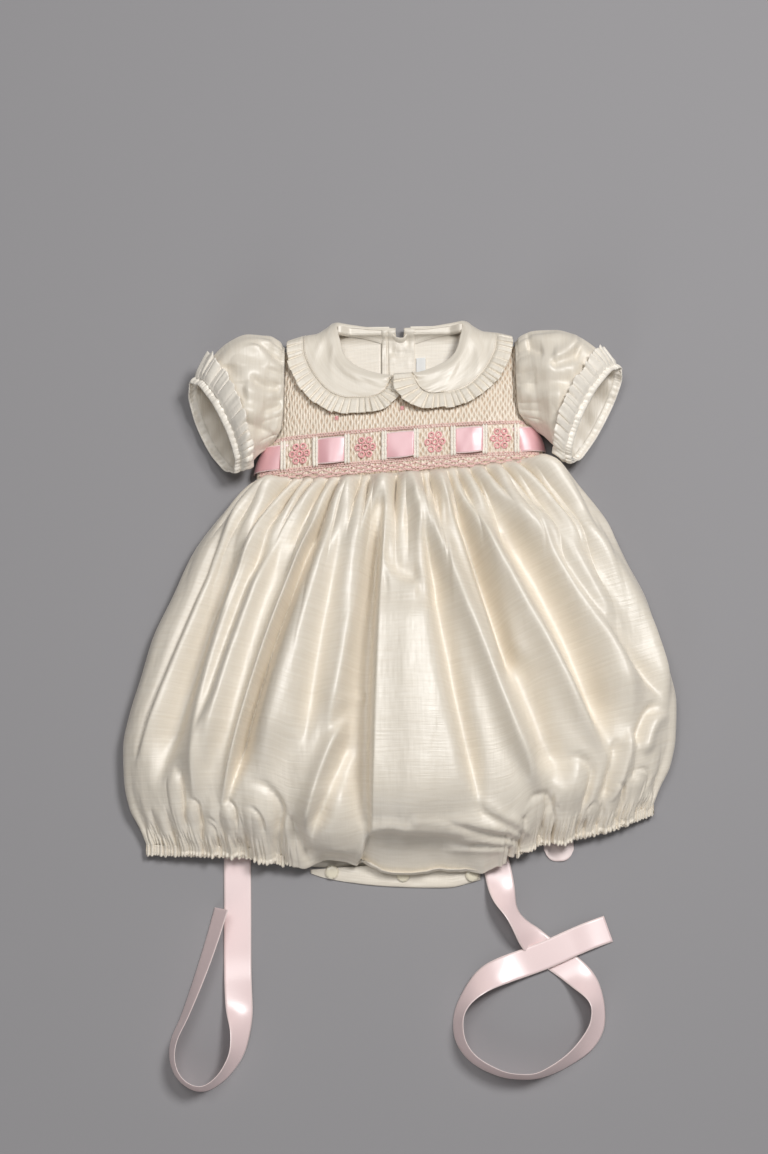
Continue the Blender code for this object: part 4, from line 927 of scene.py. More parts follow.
def facing(side, silk):
    """Neck facing: from a curved lower edge on the back up to beneath the collar's roll."""
    r, x = spread(np.linspace(0, 1, 33), np.linspace(NECK_HALF, FACING["x"][0], 65))
    low = read(FACING, "y", x)
    y = low + r * (191.5 - low)
    grid = inside_point(x, y, 0.55 + 0.35 * noise(x / 7, y / 5, 52) * ease(r, 0, 0.3))
    grid[..., 2] = np.minimum(grid[..., 2], 8.2) + 5.5 * ease(x, 37, 46)
    return cloth("facing_silk_" + side, mirrored(grid, side), silk, NECK_WALL, turn=-SIGN[side])


def placket(silk):
    """Back placket: it folds down from a notch between the ends of the collar.

    It lies on the inside of the back with a little noise near its top and a groove along one side.
    """
    r, x = spread(np.linspace(0, 1, 61), np.linspace(*PLACKET, 61))
    low, top = 82.5, 190.5 - 6.5 * notch(x)
    y = low + r * (top - low)
    high = ease(y, 158, 170)
    lift = 0.45 + high * (0.9 * noise(x / 8, y / 4, 54) + 0.5 * noise(x / 3, y / 6, 55))
    lift = lift - 0.9 * bell(x + 8.8 + 0.02 * (y - 150), 0.8)
    grid = inside_point(x, y, lift + 0.4)
    held = np.minimum(grid[..., 2], 8.0 + 3 * ease(-y, -190, -186))
    grid[..., 2] = np.where(np.abs(x) < NOTCH_HALF, grid[..., 2], held)
    return cloth("placket_silk", laid(grid), silk, NECK_WALL)


def label(tape):
    """Bare size label: it lifts off the inside of the back by 1.2 mm at one edge, 2.4 at the other."""
    left, right, low, top = LABEL
    y, x = spread(np.linspace(low, top, 21), np.linspace(left, right, 15))
    lift = 1.2 + 1.2 * ease(x, left, right)
    return cloth("label_tape_piece", laid(inside_point(x, y, lift)), tape, LABEL_WALL)


def collar_line(line, q, side):
    """The neck, seam or edge line of a collar half. At the front the right half laps the left."""
    near = fall(q, 0.0, 0.20)
    return [read(COLLAR, line + axis, q) + shift * near
            for axis, shift in zip(("_x", "_y"), COLLAR_SHIFT[side][line])]


def collar_grid(r, q, side):
    """Outer points of one half of the collar at share r of its depth and place q along it.

    It goes straight from the neck line to the seam line and rises over its roll as a bell in r.
    From where it passes beneath the back, (1 + cos(pi under)) / 2 takes it down to its low height.
    """
    under = read(COLLAR, "under", q)
    neck_x, neck_y = collar_line("neck", q, side)
    seam_x, seam_y = collar_line("seam", q, side)
    x = neck_x * (1 - r) + seam_x * r
    y = neck_y * (1 - r) + seam_y * r
    top = bodice_z(x, y) + 1.55 + 0.9 * ease(r, 0.1, 0.4) + 2.2 * bell(r - 0.2, 0.16)
    top = top + 0.8 * (side == "right") * fall(q, 0.1, 0.25)
    low = read(COLLAR_ROLL, "z", r)
    z = low + (top - low) * (1 + np.cos(math.pi * under)) / 2
    y = y + read(COLLAR_ROLL, "y", r) * ease(under, 0, 1)
    return xyz(x, y, z)


def pleat(t):
    """A knife pleat from 0 to 1 over one turn of t: a slow rise and a quick, rounded fall."""
    return ease(t, 0.0, 0.30) * (0.72 + 0.28 * t) * fall(t, 0.86, 1.0)


def frill_grid(r, q, wave, side):
    """Outer points of the collar's frill from under the collar's seam to its edge.

    Its pleats stand up by 2.6 mm x wave, from under half of that at the seam to more at the edge.
    """
    under = read(COLLAR, "under", q)
    seam_x, seam_y = collar_line("seam", q, side)
    edge_x, edge_y = collar_line("edge", q, side)
    tuck = 0.08 * (1 - r)
    x = seam_x * (1 - r + tuck) + edge_x * (r - tuck)
    y = seam_y * (1 - r + tuck) + edge_y * (r - tuck)
    out = ease(r, 0.02, 0.22)
    top = bodice_z(x, y) + 1.5 + out * (0.9 + r * 1.5 + (0.45 + 0.75 * r) * 2.6 * wave)
    top = top + (side == "right") * fall(q, 0.06, 0.2) * (0.8 + 2.6 * r)
    low = 0.05 + r * 0.3 * (1 + wave)
    z = low + (top - low) * (1 + np.cos(math.pi * under)) / 2
    return xyz(x, y, z)


def even_places(line, count):
    """Places q along the collar that lie evenly along one of its lines."""
    q = np.linspace(0, 1, 400)
    length = lengths(np.stack([read(COLLAR, line + "_x", q), read(COLLAR, line + "_y", q)], axis=-1))
    return np.interp(np.linspace(0, length[-1], count), length, q)


def collar_half(side, silk, thick):
    """One half of the collar, its pleated frill and the stitches along its seam.

    Ripples are noise over place and depth, kept from sinking into the smocking. Each pleat has a
    width, a height and a reach of its own.
    """
    seed = {"left": 61, "right": 66}[side]
    depths = np.concatenate([np.linspace(0, 0.3, 16)[:-1], np.linspace(0.3, 1, 26)])
    r, q = spread(depths, even_places("seam", 121))
    flat = collar_grid(r, q, side)
    visible = 1 - read(COLLAR, "under", q)
    ripple = 1.4 * noise(q * 9 + r * 2.5, r * 1.6, seed) + 0.8 * noise(q * 20 + r * 6, r * 2, seed + 1)
    ripple = np.maximum(ripple, -0.5 + 0.2 * ripple)
    flat[..., 2] += ripple * visible * ease(r, 0.1, 0.4) * (1 - 0.6 * ease(r, 0.85, 1))
    half = cloth("collar_silk_" + side, mirrored(flat, side), silk, thick, turn=-SIGN[side], step=2)
    places = np.linspace(0, 1, COLLAR_WAVES * 12 + 1)
    folds = uneven(COLLAR_WAVES, 0, 1, 0.42, seed + 2)
    k, place = gather_at(folds, places)
    wave = pleat(place) * np.random.default_rng(seed + 3).uniform(0.55, 1.15, COLLAR_WAVES)[k]
    jut = np.random.default_rng(seed + 4).uniform(-0.045, 0.055, COLLAR_WAVES)[k]
    r, q = spread(np.linspace(0, 1, 17), even_places("edge", len(places)))
    wave = wave * (1 + 0.12 * noise(q * 60, r * 3, seed + 5))
    edge = mirrored(frill_grid(r * (1 + jut), q, wave, side), side)
    frill = cloth("collar_frill_silk_" + side, edge, silk, thick, turn=-SIGN[side], step=2)
    q = even_places("seam", 260)
    q = q[q < 0.66]
    line = collar_grid(np.full(q.shape, 0.965), q, side)
    line[:, 2] += 0.25
    line = mirrored(line, side)[:len(line) // 2 * 2]
    stitches = threads("collar_stitches_" + side, line[::2], line[1::2], finish("floss_tan"), 0.17, 0.05,
                       5, 3)
    return half, frill, stitches


def sleeve_size(side, ring):
    """Sizes of a sleeve's section at place ring, from 0 at the armhole to 5 at the cuff."""
    place = np.arange(len(SLEEVE["mid"]), dtype=float)
    size = {key: smooth(place, SLEEVE[key], ring) for key in SLEEVE}
    if side == "right":
        for key in ("x_top", "y_top", "x_low", "y_low"):
            size[key] = size[key] + read(SLEEVE_DROP, key, ring)
    return size


def sleeve_point(side, ring, angle, beyond=0.0, off=0.0):
    """Points of a sleeve: a slanted ellipse at each ring, off moves them out of its surface.

    The angle is 0 at the ring's top in plan and goes over its front.
    """
    ring, angle = np.broadcast_arrays(np.asarray(ring, float), angle)
    size = sleeve_size(side, ring)
    top = xyz(size["x_top"], size["y_top"], size["mid"])
    low = xyz(size["x_low"], size["y_low"], size["mid"])
    half, middle = (top - low) / 2, (top + low) / 2
    long = np.linalg.norm(half, axis=-1)
    out = xyz(half[..., 1], -half[..., 0], 0 * ring) / long[..., None]
    cos, sin = np.cos(angle), np.sin(angle)
    up = np.array([0.0, 0.0, 1.0])
    flat, steep = cos / long, sin / size["depth"]
    around = half / long[..., None] * flat[..., None] + up * steep[..., None]
    around = around / np.hypot(flat, steep)[..., None]
    gather = size["gather"] * np.cos(SLEEVE_GATHERS * angle)
    points = middle + half * cos[..., None] + up * (size["depth"] * sin)[..., None]
    points = points + out * (beyond - size["back"] * sin)[..., None] + around * (off + gather)[..., None]
    seam = read(BODICE, "half", points[..., 1]) + 0.5
    points[..., 0] = seam + (points[..., 0] - seam) * ease(ring, 0.0, 0.7)
    points[..., 2] = np.maximum(points[..., 2], 0.1)
    return points


def sleeve_folds(ring, angle, seed):
    """Height of a sleeve's folds: fine gathers at its head and cuff, soft dents between."""
    turn = angle / (2 * math.pi)

    def gathers(first, count, spread_of, drift, pitch, power=0.62):
        """Pipes round the sleeve whose places drift a little from ring to ring."""
        place = (turn + drift * noise(turn * pitch, ring, first)) % 1.0
        return pipes(place, uneven(count, 0, 1, spread_of, first + 1), power)

    head = gathers(seed, 22, 0.6, 0.01, 20)
    cuff = gathers(seed + 2, 34, 0.45, 0.01, 20)
    broad = gathers(seed + 4, 9, 0.5, 0.02, 6, 0.9)
    dents = noise(np.cos(angle) * 2.2 + 9, np.sin(angle) * 2.2 + ring * 0.8, seed + 6)
    return (
        1.8 * (head - 0.5) * ease(ring, 0, 0.15) * fall(ring, 0.35, 1.1)
        + 1.3 * (cuff - 0.5) * ease(ring, 3.6, 4.7)
        + 0.8 * (broad - 0.6) * ease(ring, 0.2, 1.2) * fall(ring, 3.6, 4.9)
        + 0.4 * dents * ease(ring, 0.3, 1.4) * fall(ring, 4.0, 5.0)
    )


def sleeve(side, silk, thick):
    """One puff sleeve, its cuff band and the frill turned back over it.

    The sleeve's folds move its rings out, and at the armhole its head is tucked in under the
    bodice. The band bulges as sin(pi x share across it) ^ 0.7, with puckers of the elastic.
    """
    sign = SIGN[side]
    seed = {"left": 71, "right": 81}[side]
    ring, angle = spread(np.linspace(0, CUFF, 101), turns(320))
    plain = mirrored(sleeve_point(side, ring, angle), side)
    front = ease(np.sin(angle), -0.1, 0.35) * ease(ring, 0.0, 0.25)
    own = SLEEVE_CREASES["side"] == sign
    placed_creases = creases({key: column[own] for key, column in SLEEVE_CREASES.items()}, plain)
    grid = sleeve_point(side, ring, angle, off=sleeve_folds(ring, angle, seed) + front * placed_creases)
    tucked = fall(ring, 0, 0.12)
    grid[..., 0] -= 1.9 * tucked
    grid[..., 2] -= 0.9 * tucked * np.sin(angle)
    grid[..., 2] = np.maximum(grid[..., 2], 0.1)
    puff = cloth("sleeve_silk_" + side, mirrored(grid, side), silk, thick, plain=plain, closed=True, step=4,
                 turn=sign)
    beyond, angle = spread(np.linspace(-1.2, 6.0, 13), turns(480))
    bulge = np.sin(math.pi * (beyond + 1.2) / 7.2) ** 0.7
    pucker = pipes(angle / (2 * math.pi), uneven(60, 0, 1, 0.6, seed + 8), 0.8)
    ripple = 1.3 * bulge + (0.35 + 0.4 * bulge) * (pucker - 0.6)
    grid = mirrored(sleeve_point(side, CUFF, angle, beyond=beyond, off=ripple), side)
    # Painted light: the band and the frill get a lighter copy of the silk.
    painted_light_silk = finish("silk_frill")
    band = cloth("cuff_band_silk_" + side, grid, painted_light_silk, 1.0, closed=True, turn=sign, step=2)
    return puff, band, cuff_frill(side, painted_light_silk, thick, seed + 9)


def cuff_frill(side, silk, thick, seed):
    """The cuff's frill: it lies back along the sleeve from the band, in uneven gathers.

    Each row of it is the place that is r x its width back along the sleeve, lifted off it by the
    pleats, which grow towards the edge, with a flutter of 21 waves round the cuff.
    """
    angle = turns(CUFF_WAVES * 14)
    turn = angle / (2 * math.pi)
    rings = np.linspace(CUFF, 1.2, 40)
    length = spans(sleeve_point(side, rings[:, None], angle[None, :], off=1.0), 0)
    k, place = gather_at(uneven(CUFF_WAVES, 0, 1, 0.5, seed), turn)
    size = np.random.default_rng(seed + 1).uniform(0.4, 1.3, CUFF_WAVES)[k]
    flip = np.random.default_rng(seed + 4).uniform(0, 1, CUFF_WAVES)[k] < 0.35
    wave = pleat(np.where(flip, 1 - place, place)) * size
    reach_of = CUFF_FRILL_WIDTH * (1 + 0.12 * noise(turn * CUFF_WAVES / 2, 0 * turn, seed + 2)
                                   + 0.05 * noise(turn * CUFF_WAVES * 2, 0 * turn, seed + 5)
                                   + 0.06 * (wave - 0.5))
    lift = 0.8 * noise(np.cos(angle) * 4 + 9, np.sin(angle) * 4 + 9, seed + 3)
    flutter = np.sin(turn * math.tau * 21 + 2 * lift)
    stand = np.where(np.sin(angle) > -0.2, 1.0, 0.45)
    rows = []
    for r in np.linspace(0.0, 1.0, 17):
        reach = np.minimum(r * reach_of, length[-1] * (0.25 + 0.75 * r))
        at = np.array([np.interp(reach[i], length[:, i], rings) for i in range(len(turn))])
        rise = 0.5 + 2.0 * r + lift * r + (0.5 + 0.5 * r) * 2.4 * wave + 1.3 * r * flutter
        rows.append(sleeve_point(side, at, angle, off=0.9 + ease(r, 0, 0.25) * stand * rise,
                                 beyond=1.2 * (1 - r)))
    return cloth("cuff_frill_silk_" + side, mirrored(np.array(rows), side), silk, thick, closed=True,
                 turn=SIGN[side])


def leg_edge(side, count):
    """The hem that a leg's casing is sewn to: count places out along the front, 89 back again.

    Returns the path and 1 on the front or 0 on the back at each place.
    """
    sign, half = SIGN[side], SKIRT["half"][-1]
    front = laid(skirt_base(np.linspace(LEG_START, 1, 80) * sign, np.ones(80)))
    turn = np.linspace(math.pi / 2, 0, 8)
    inner = half - SIDE_TURN
    level = np.linspace(inner, LEG_START * half, 60)[1:]
    x = sign * np.concatenate([inner + SIDE_TURN * np.sin(turn), level])
    z = np.concatenate([(SKIRT["side"][-1] - SEAM) * (1 - np.cos(turn)), np.zeros(59)])
    back = laid(xyz(x, back_hem_y(x / half), z))
    lifted = over_ribbon(back[:, 0], hidden_ribbon(1.0)[side == "right"])
    if side == "right":
        lifted = np.maximum(lifted, over_fold(back[:, 0]))
    back[:, 2] += lifted * PLATEAU
    loop = np.concatenate([front, back])
    length = lengths(loop)
    places = np.concatenate([np.linspace(0, length[79], count), np.linspace(length[79], length[-1], 90)[1:]])
    path = np.stack([np.interp(places, length, column) for column in loop.T], axis=-1)
    return path, np.concatenate([np.ones(count), np.zeros(89)])


def leg_casing(side, silk, thick):
    """The gathered elastic edge of one leg: its ruffles follow the gathers of the skirt above.

    Its rows step down from the hem along Y, each moved up or down by the same gathers.
    """
    path, front = leg_edge(side, 461)
    wave = (leg_gathers(path[:, 0] / SKIRT["half"][-1]) - 0.5) * front
    rows = []
    for r in np.linspace(0, 1, 11):
        row = path.copy()
        row[:, 1] -= SEAM + r * CASING_WIDTH + front * ease(r, 0.5, 1) * (0.6 + 1.6 * wave)
        drop = r * 2.5 * front * np.clip((path[:, 2] - 5) / 8, 0, 1)
        row[:, 2] += wave * 1.5 - drop - 0.9 * front + (1 - front) * 0.15
        row[:, 2] = np.maximum(row[:, 2], 0.05)
        rows.append(row)
    return cloth("leg_ruffle_" + side, np.array(rows), silk, thick, closed=True, turn=-SIGN[side], step=2)


def crotch_flap(silk):
    """The back flap that the front is snapped to: it rises 1.2 mm from its edge to the back."""
    r, x = spread(np.linspace(0, 1, 15), np.linspace(FLAP["x"][0], FLAP["x"][-1], 91))
    low = read(FLAP, "y", x)
    y = low + (FLAP_TOP - SEAM - low) * r
    z = 0.9 + 1.2 * r + 0.35 * noise(x / 11, y / 5, 101)
    grid = xyz(x, y, 0.5 + (z - 0.5) * ease(r, 0, 0.12))
    return cloth("flap_silk", laid(grid), silk, NECK_WALL)


def ribbon_window(number, middle, satin, thick):
    """One stretch of ribbon between two slots: a strip bowed up, its ends tucked into the slots.

    The bow is a parabola across with its top at the peak, 0 at the far slot.
    """
    wide, high = WINDOW
    bow, peak = WINDOW_BOWS[number - 1]
    v, u = spread(np.linspace(-1, 1, 17), np.linspace(-1, 1, 41))
    x = middle + u * wide / 2 + 0.4 * v * (u > 0) * u
    y = RIBBON_ROW + v * high / 2 + 1.1 * np.clip(1 - u * u, 0, 1) * np.where(v < 0, v, 0.4 * v)
    tuck = -2.4 * ease(np.abs(u), 0.88, 1.0)
    rise = bow * (1 - ((u - peak) / (1 + peak)) ** 2) * (1 - 0.25 * v)
    curl = 0.5 * noise(x / 9, y / 14, 120 + number)
    z = bodice_z(x, y) + 1.3 + rise + tuck + curl * (1 - u * u)
    uv = np.stack([x / 1000, v / 2 + 0.5], axis=-1)
    return cloth(f"ribbon_satin_{number}", laid(xyz(x, y, z)), satin, thick, uv=uv)


def ribbon_end(side, satin, thick):
    """The ribbon's way round the side of the bodice: from its last slot over the side seam.

    It follows the bodice's own section outwards, then drops beside it, and bows off it by
    1.6 mm x sin(pi u).
    """
    sign = SIGN[side]
    v, u = spread(np.linspace(-1, 1, 15), np.linspace(0, 1, 25))
    y = RIBBON_ROW - 1.2 + v * 9.2
    half = read(BODICE, "half", y)
    edge = read(BODICE, "edge", y)
    share = 0.83 + 0.17 * np.clip(u / 0.8, 0, 1)
    x = share * half
    z = edge + (bodice_z(0, y) - edge) * barrel(share) - 3.2 * np.clip((u - 0.8) / 0.2, 0, 1)
    base = xyz(sign * x, y, z)
    out = normals(base) * sign
    out[:, -5:] = (sign, 0, 0)
    rise = 1.5 + 1.6 * np.sin(math.pi * u) - 0.9 * fall(u, 0, 0.12)
    grid = laid(base + out * rise[..., None])
    uv = np.stack([x / 1000, v / 2 + 0.5], axis=-1)
    return cloth("ribbon_turn_" + side, grid, satin, thick, turn=sign, uv=uv)


def softened(values, reach):
    """Running mean with (1 + cos) weights, a reach of places either way, with its ends kept."""
    weights = np.hanning(2 * reach + 3)[1:-1]
    wide = np.pad(values, reach, mode="reflect", reflect_type="odd")
    return np.convolve(wide, weights / weights.sum(), mode="valid")


def ribbon_tail(side, rows, satin, thick, width):
    """One free end of the ribbon: a strip carried along its route, tipped up as the table says.

    The route is read at every mm, smoothed by a running mean and then read closer where it turns.
    Each cross line is the route's side direction turned down by the tilt, and it is cupped by
    1 - u^2. A slow wave lifts the middle where the ribbon lies free and flat.
    """
    place = np.arange(len(rows["x"]), dtype=float)
    at = np.linspace(0, place[-1], 2000)
    route = np.stack([smooth(place, rows[key], at) for key in ("x", "y", "lift", "tilt")], axis=-1)
    length = lengths(route[:, :2])
    even = np.linspace(0, length[-1], int(length[-1]))
    route = np.stack([softened(np.interp(even, length, column), 11) for column in route.T], axis=-1)
    heading = np.arctan2(*np.gradient(route[:, :2], axis=0).T[::-1])
    weight = np.cumsum(1 + 22 * np.abs(np.gradient(np.unwrap(heading))))
    far = np.interp(np.linspace(weight[0], weight[-1], 420), weight, even)
    x, y, lift, tilt = (np.interp(far, even, column) for column in route.T)
    middle = xyz(x, y, lift)
    tilt = np.radians(tilt)[:, None]
    cross_x, cross_y, spare = TAIL_CROSSING[side]
    crossing = np.hypot(x - cross_x, y - cross_y) - spare
    free = ease(far, 260, 300) * ease(even[-1] - far, 0, 25) * ease(crossing, 16, 40)
    wave = 1.0 + noise(far / 26, 0 * far + (side == "left") * 5, 131)
    middle[:, 2:] += width / 2 * np.sin(tilt) + 0.5 * np.cos(tilt)
    middle[:, 2] += 1.3 * wave * free * np.cos(tilt[:, 0]) ** 2
    ahead = np.gradient(middle[:, :2], axis=0)
    ahead /= np.linalg.norm(ahead, axis=1, keepdims=True)
    sideways = xyz(-ahead[:, 1], ahead[:, 0], 0 * far)
    across = sideways * np.cos(tilt) - np.array([0, 0, 1]) * np.sin(tilt)
    face = np.cross(np.concatenate([ahead, np.zeros((len(far), 1))], axis=1), across)
    u = np.linspace(1, -1, 13)
    cup = 0.55 * noise(far / 34 + 7, 0 * far, 132) * free
    grid = middle + (across * width / 2) * u[:, None, None] + face * thick / 2
    grid += face * (cup * (1 - u[:, None] ** 2))[..., None]
    uv = np.stack(spread((u + 1) / 2, lengths(middle) / 1000)[::-1], axis=-1)
    return cloth("ribbon_tail_satin_" + side, grid, satin, thick, turn=-1, uv=uv)


def ribbon_fold(satin, thick):
    """The fold of the ribbon that peeps out from under the right leg, its end rounded as |u|^3."""
    middle, low, wide, long = BIGHT
    r, u = spread(np.linspace(0, 1, 21), np.linspace(-1, 1, 31))
    start = low + 5.0 * np.abs(u) ** 3
    x = middle + u * wide / 2 * (0.86 + 0.14 * ease(r, 0, 0.15))
    y = start + (low + long - start) * r
    z = 0.75 + 0.25 * np.sin(u * 5 + r * 3) * (1 - r)
    uv = np.stack([y / 1000, u / 2 + 0.5], axis=-1)
    return cloth("ribbon_fold_satin", xyz(x, y, z), satin, thick, uv=uv)


def threads(name, starts, ends, finish, radius=0.35, bow=0.25, sides=6, rings=5):
    """Many stitches as one mesh: each is a tapered tube bowed up from its start to its end.

    The section is a circle round the chord, its radius x sqrt(1 - (2t - 1)^4) towards the tips.
    """
    starts, ends = np.asarray(starts, float), np.asarray(ends, float)
    count = len(starts)
    chord = ends - starts
    ahead = chord / np.maximum(np.linalg.norm(chord, axis=1, keepdims=True), 1e-6)
    up = np.array([0.0, 0.0, 1.0])
    sideways = np.cross(ahead, up)
    sideways /= np.maximum(np.linalg.norm(sideways, axis=1, keepdims=True), 1e-6)
    over = np.cross(sideways, ahead)
    t = np.linspace(0, 1, rings)
    size = radius * np.sqrt(np.clip(1 - (2 * t - 1) ** 4, 0.04, 1))
    angle = turns(sides)
    middle = starts[:, None] + chord[:, None] * t[:, None] + up * (bow * 4 * t * (1 - t))[:, None]
    ring = sideways[:, None] * np.cos(angle)[:, None] + over[:, None] * np.sin(angle)[:, None]
    points = middle[:, :, None] + ring[:, None] * size[:, None, None]
    index = np.arange(count * rings * sides).reshape(count, rings, sides)
    rolled = np.roll(index, -1, axis=2)
    quads = np.stack([index[:, :-1], rolled[:, :-1], rolled[:, 1:], index[:, 1:]], axis=-1).reshape(-1, 4)
    face_sets = [quads[:, ::-1], index[:, 0], index[:, -1][:, ::-1]]
    uv = np.tile(np.stack(spread(t, angle / (2 * math.pi)), axis=-1).reshape(-1, 2), (count, 1))
    return build(name, points.reshape(-1, 3), face_sets, finish, uv)


def on_bodice(x, y, lift):
    """Points on the smocked bodice, at their height plus a lift."""
    x, y = np.broadcast_arrays(np.asarray(x, float), np.asarray(y, float))
    return laid(xyz(x, y, bodice_z(x, y) + lift))


def stitch_rows(thread):
    """Pink smocking stitches: a cable row above the ribbon, and rows of waves and points below.

    One stitch stands on each half reed. A row is a triangle wave that droops near the points.
    """
    starts, ends = [], []
    for offset, swing, period, reach, slope, droop, phase in STITCH_ROWS:
        x = np.arange(-reach, reach, REED / 2)
        odd = np.arange(len(x)) % 2 * 2 - 1
        points = sum(np.clip(1 - np.abs(x - place) / 15.0, 0, 1) for place in POINTS)
        y = RIBBON_ROW + offset + swing * (np.abs((x / period + phase) % 2 - 1) - 0.5) - droop * points
        y = y + 0.25 * noise(x / 4, 0 * x + offset, 112)
        starts.append(on_bodice(x - REED * 0.33, y - odd * slope, STITCH_LIFT))
        ends.append(on_bodice(x + REED * 0.33, y + odd * slope, STITCH_LIFT))
    return threads("smocking_stitches", np.concatenate(starts), np.concatenate(ends), thread, 0.3)


def rosette(x, y):
    """One small rosette: two rings of short stitches about an open middle."""
    starts, ends = [], []
    for radius, lift, count in ((ROSETTE, 1.4, 8), (ROSETTE * 0.88, 1.75, 7)):
        angle = 2 * math.pi * (np.arange(count) + 0.3) / count
        wide = 2 * math.pi / count * 0.62
        for tips, at in ((starts, angle - wide), (ends, angle + wide)):
            tips.append(on_bodice(x + radius * np.cos(at), y + radius * np.sin(at), lift))
    return starts, ends


def flowers(pink, pale):
    """Four flowers between the slots, six rosettes round a seventh, joined by pale threads.

    The rosebuds above them are three short stitches each.
    """
    dark_starts, dark_ends, light_starts, light_ends = [], [], [], []
    around = np.radians(np.arange(0, 360, 60))
    spots = [(0.0, 0.0), *zip(5.5 * np.cos(around), 6.1 * np.sin(around))]
    spokes = np.radians(np.arange(0, 360, 20) + 8)
    for place in FLOWERS:
        for dx, dy in spots:
            starts, ends = rosette(place + dx, RIBBON_ROW + dy)
            dark_starts += starts
            dark_ends += ends
        for tips, at, wide, high in ((light_starts, spokes, 2.2, 2.2), (light_ends, spokes + 0.2, 8.0, 8.8)):
            tips.append(on_bodice(place + wide * np.cos(at), RIBBON_ROW + high * np.sin(at), 1.2))
    for x, y in BUDS:
        for reach in (-1.0, 0.0, 1.0):
            dark_starts.append(on_bodice([x - 1.6], [y + reach], 1.5))
            dark_ends.append(on_bodice([x + 1.6], [y + reach + 0.3], 1.5))
    dark_starts, dark_ends = np.concatenate(dark_starts), np.concatenate(dark_ends)
    light_starts, light_ends = np.concatenate(light_starts), np.concatenate(light_ends)
    return (threads("flower_rosettes", dark_starts, dark_ends, pink, 0.47, 0.2),
            threads("flower_threads", light_starts, light_ends, pale, 0.3, 0.3))


def slot_bars(thread):
    """Pairs of upright ivory bars beside each slot of the ribbon, seven stitches high."""
    sides = [side * (WINDOW[0] / 2 + gap) for side in (-1, 1) for gap in (-0.4, 1.7)]
    x = np.array([place + side for place in WINDOW_PLACES for side in sides] + list(BAR_ENDS))
    starts, ends = [], []
    for t in np.linspace(-1, 1, 8)[:-1]:
        y = RIBBON_ROW + t * BAR_HALF
        lean = 0.25 * noise(x, x * 0 + t * 5, 111)
        starts.append(on_bodice(x + lean, y - 1.3, 2.1))
        ends.append(on_bodice(x + lean * 0.6, y + 2 * BAR_HALF / 7 + 1.3, 2.1))
    return threads("slot_bars", np.concatenate(starts), np.concatenate(ends), thread, 1.1, 0.1, 8, 5)


def add(tree, kind, links=(), values=(), **settings):
    """Adds one node, sets its properties and input values, and links its named inputs.

    A link's source is a socket, or a node, which stands for its first output in use.
    """
    node = tree.nodes.new(kind)
    for key, value in settings.items():
        setattr(node, key, value)
    for name, value in dict(values).items():
        node.inputs[name].default_value = value
    for name, source in dict(links).items():
        if isinstance(source, bpy.types.Node):
            source = next(socket for socket in source.outputs if socket.enabled)
        tree.links.new(source, node.inputs[name])
    return node


def new_material(name):
    """An empty node material with its output node."""
    made = bpy.data.materials.new(name)
    made.use_nodes = True
    tree = made.node_tree
    tree.nodes.clear()
    return made, tree, add(tree, "ShaderNodeOutputMaterial")


def paint(code):
    """An opaque colour for a socket, from sRGB hex."""
    return (*linear(code), 1)


def silk_dupion(name, colour, shade, slub=0.4, roughness=0.46, sheen=0.2, gap_shade=None):
    """Dupion silk: plain weave with slubs along the weft, a crisp cloth with a bright, soft gloss.

    The last argument is the colour of the painted shade between the reeds, where the silk is smocked.
    """
    made, tree, output = new_material(name)
    mark = add(tree, "ShaderNodeUVMap", uv_map="cloth")
    slub_map = add(tree, "ShaderNodeMapping", {"Vector": mark}, {"Scale": SLUB_SCALE})
    slubs = add(tree, "ShaderNodeTexNoise", {"Vector": slub_map}, {"Scale": 1, "Detail": 3, "Roughness": 0.6})
    warp_map = add(tree, "ShaderNodeMapping", {"Vector": mark}, {"Scale": WARP_SCALE})
    warp = add(tree, "ShaderNodeTexNoise", {"Vector": warp_map}, {"Scale": 1, "Detail": 2, "Roughness": 0.5})
    wear = add(tree, "ShaderNodeTexNoise", {"Vector": mark},
               {"Scale": HANDLED_SCALE, "Detail": 4, "Roughness": 0.55})
    weave = add(tree, "ShaderNodeMath", {0: warp, 2: slubs}, {1: 0.4}, operation="MULTIPLY_ADD")
    tone = add(tree, "ShaderNodeMapRange", {"Value": slubs},
               {"From Min": 0.3, "From Max": 0.7, "To Max": slub})
    skin = add(tree, "ShaderNodeMix", {"Factor": tone}, data_type="RGBA")
    skin.inputs["A"].default_value, skin.inputs["B"].default_value = paint(colour), paint(shade)
    # Painted shade between the reeds: the lower a place lies, the more of the darker colour it gets.
    if gap_shade:
        depth = add(tree, "ShaderNodeAttribute", attribute_name="gap_shade").outputs["Fac"]
        gap = add(tree, "ShaderNodeMapRange", {"Value": depth}, {"From Min": 0.2})
        reeds_over = skin
        skin = add(tree, "ShaderNodeMix", {"Factor": gap}, data_type="RGBA")
        skin.inputs["B"].default_value = paint(gap_shade)
        tree.links.new(reeds_over.outputs["Result"], skin.inputs["A"])
    rough = add(tree, "ShaderNodeMapRange", {"Value": wear},
                {"From Min": 0.3, "From Max": 0.7, "To Min": roughness - 0.04, "To Max": roughness + 0.06})
    bump = add(tree, "ShaderNodeBump", {"Height": weave}, {"Strength": 0.5, "Distance": 0.0006})
    shader = add(tree, "ShaderNodeBsdfPrincipled", {"Base Color": skin, "Roughness": rough, "Normal": bump},
                 {"Sheen Weight": sheen, "Sheen Roughness": 0.35, "Specular IOR Level": 1, "IOR": 1.58})
    tree.links.new(shader.outputs["BSDF"], output.inputs["Surface"])
    return made


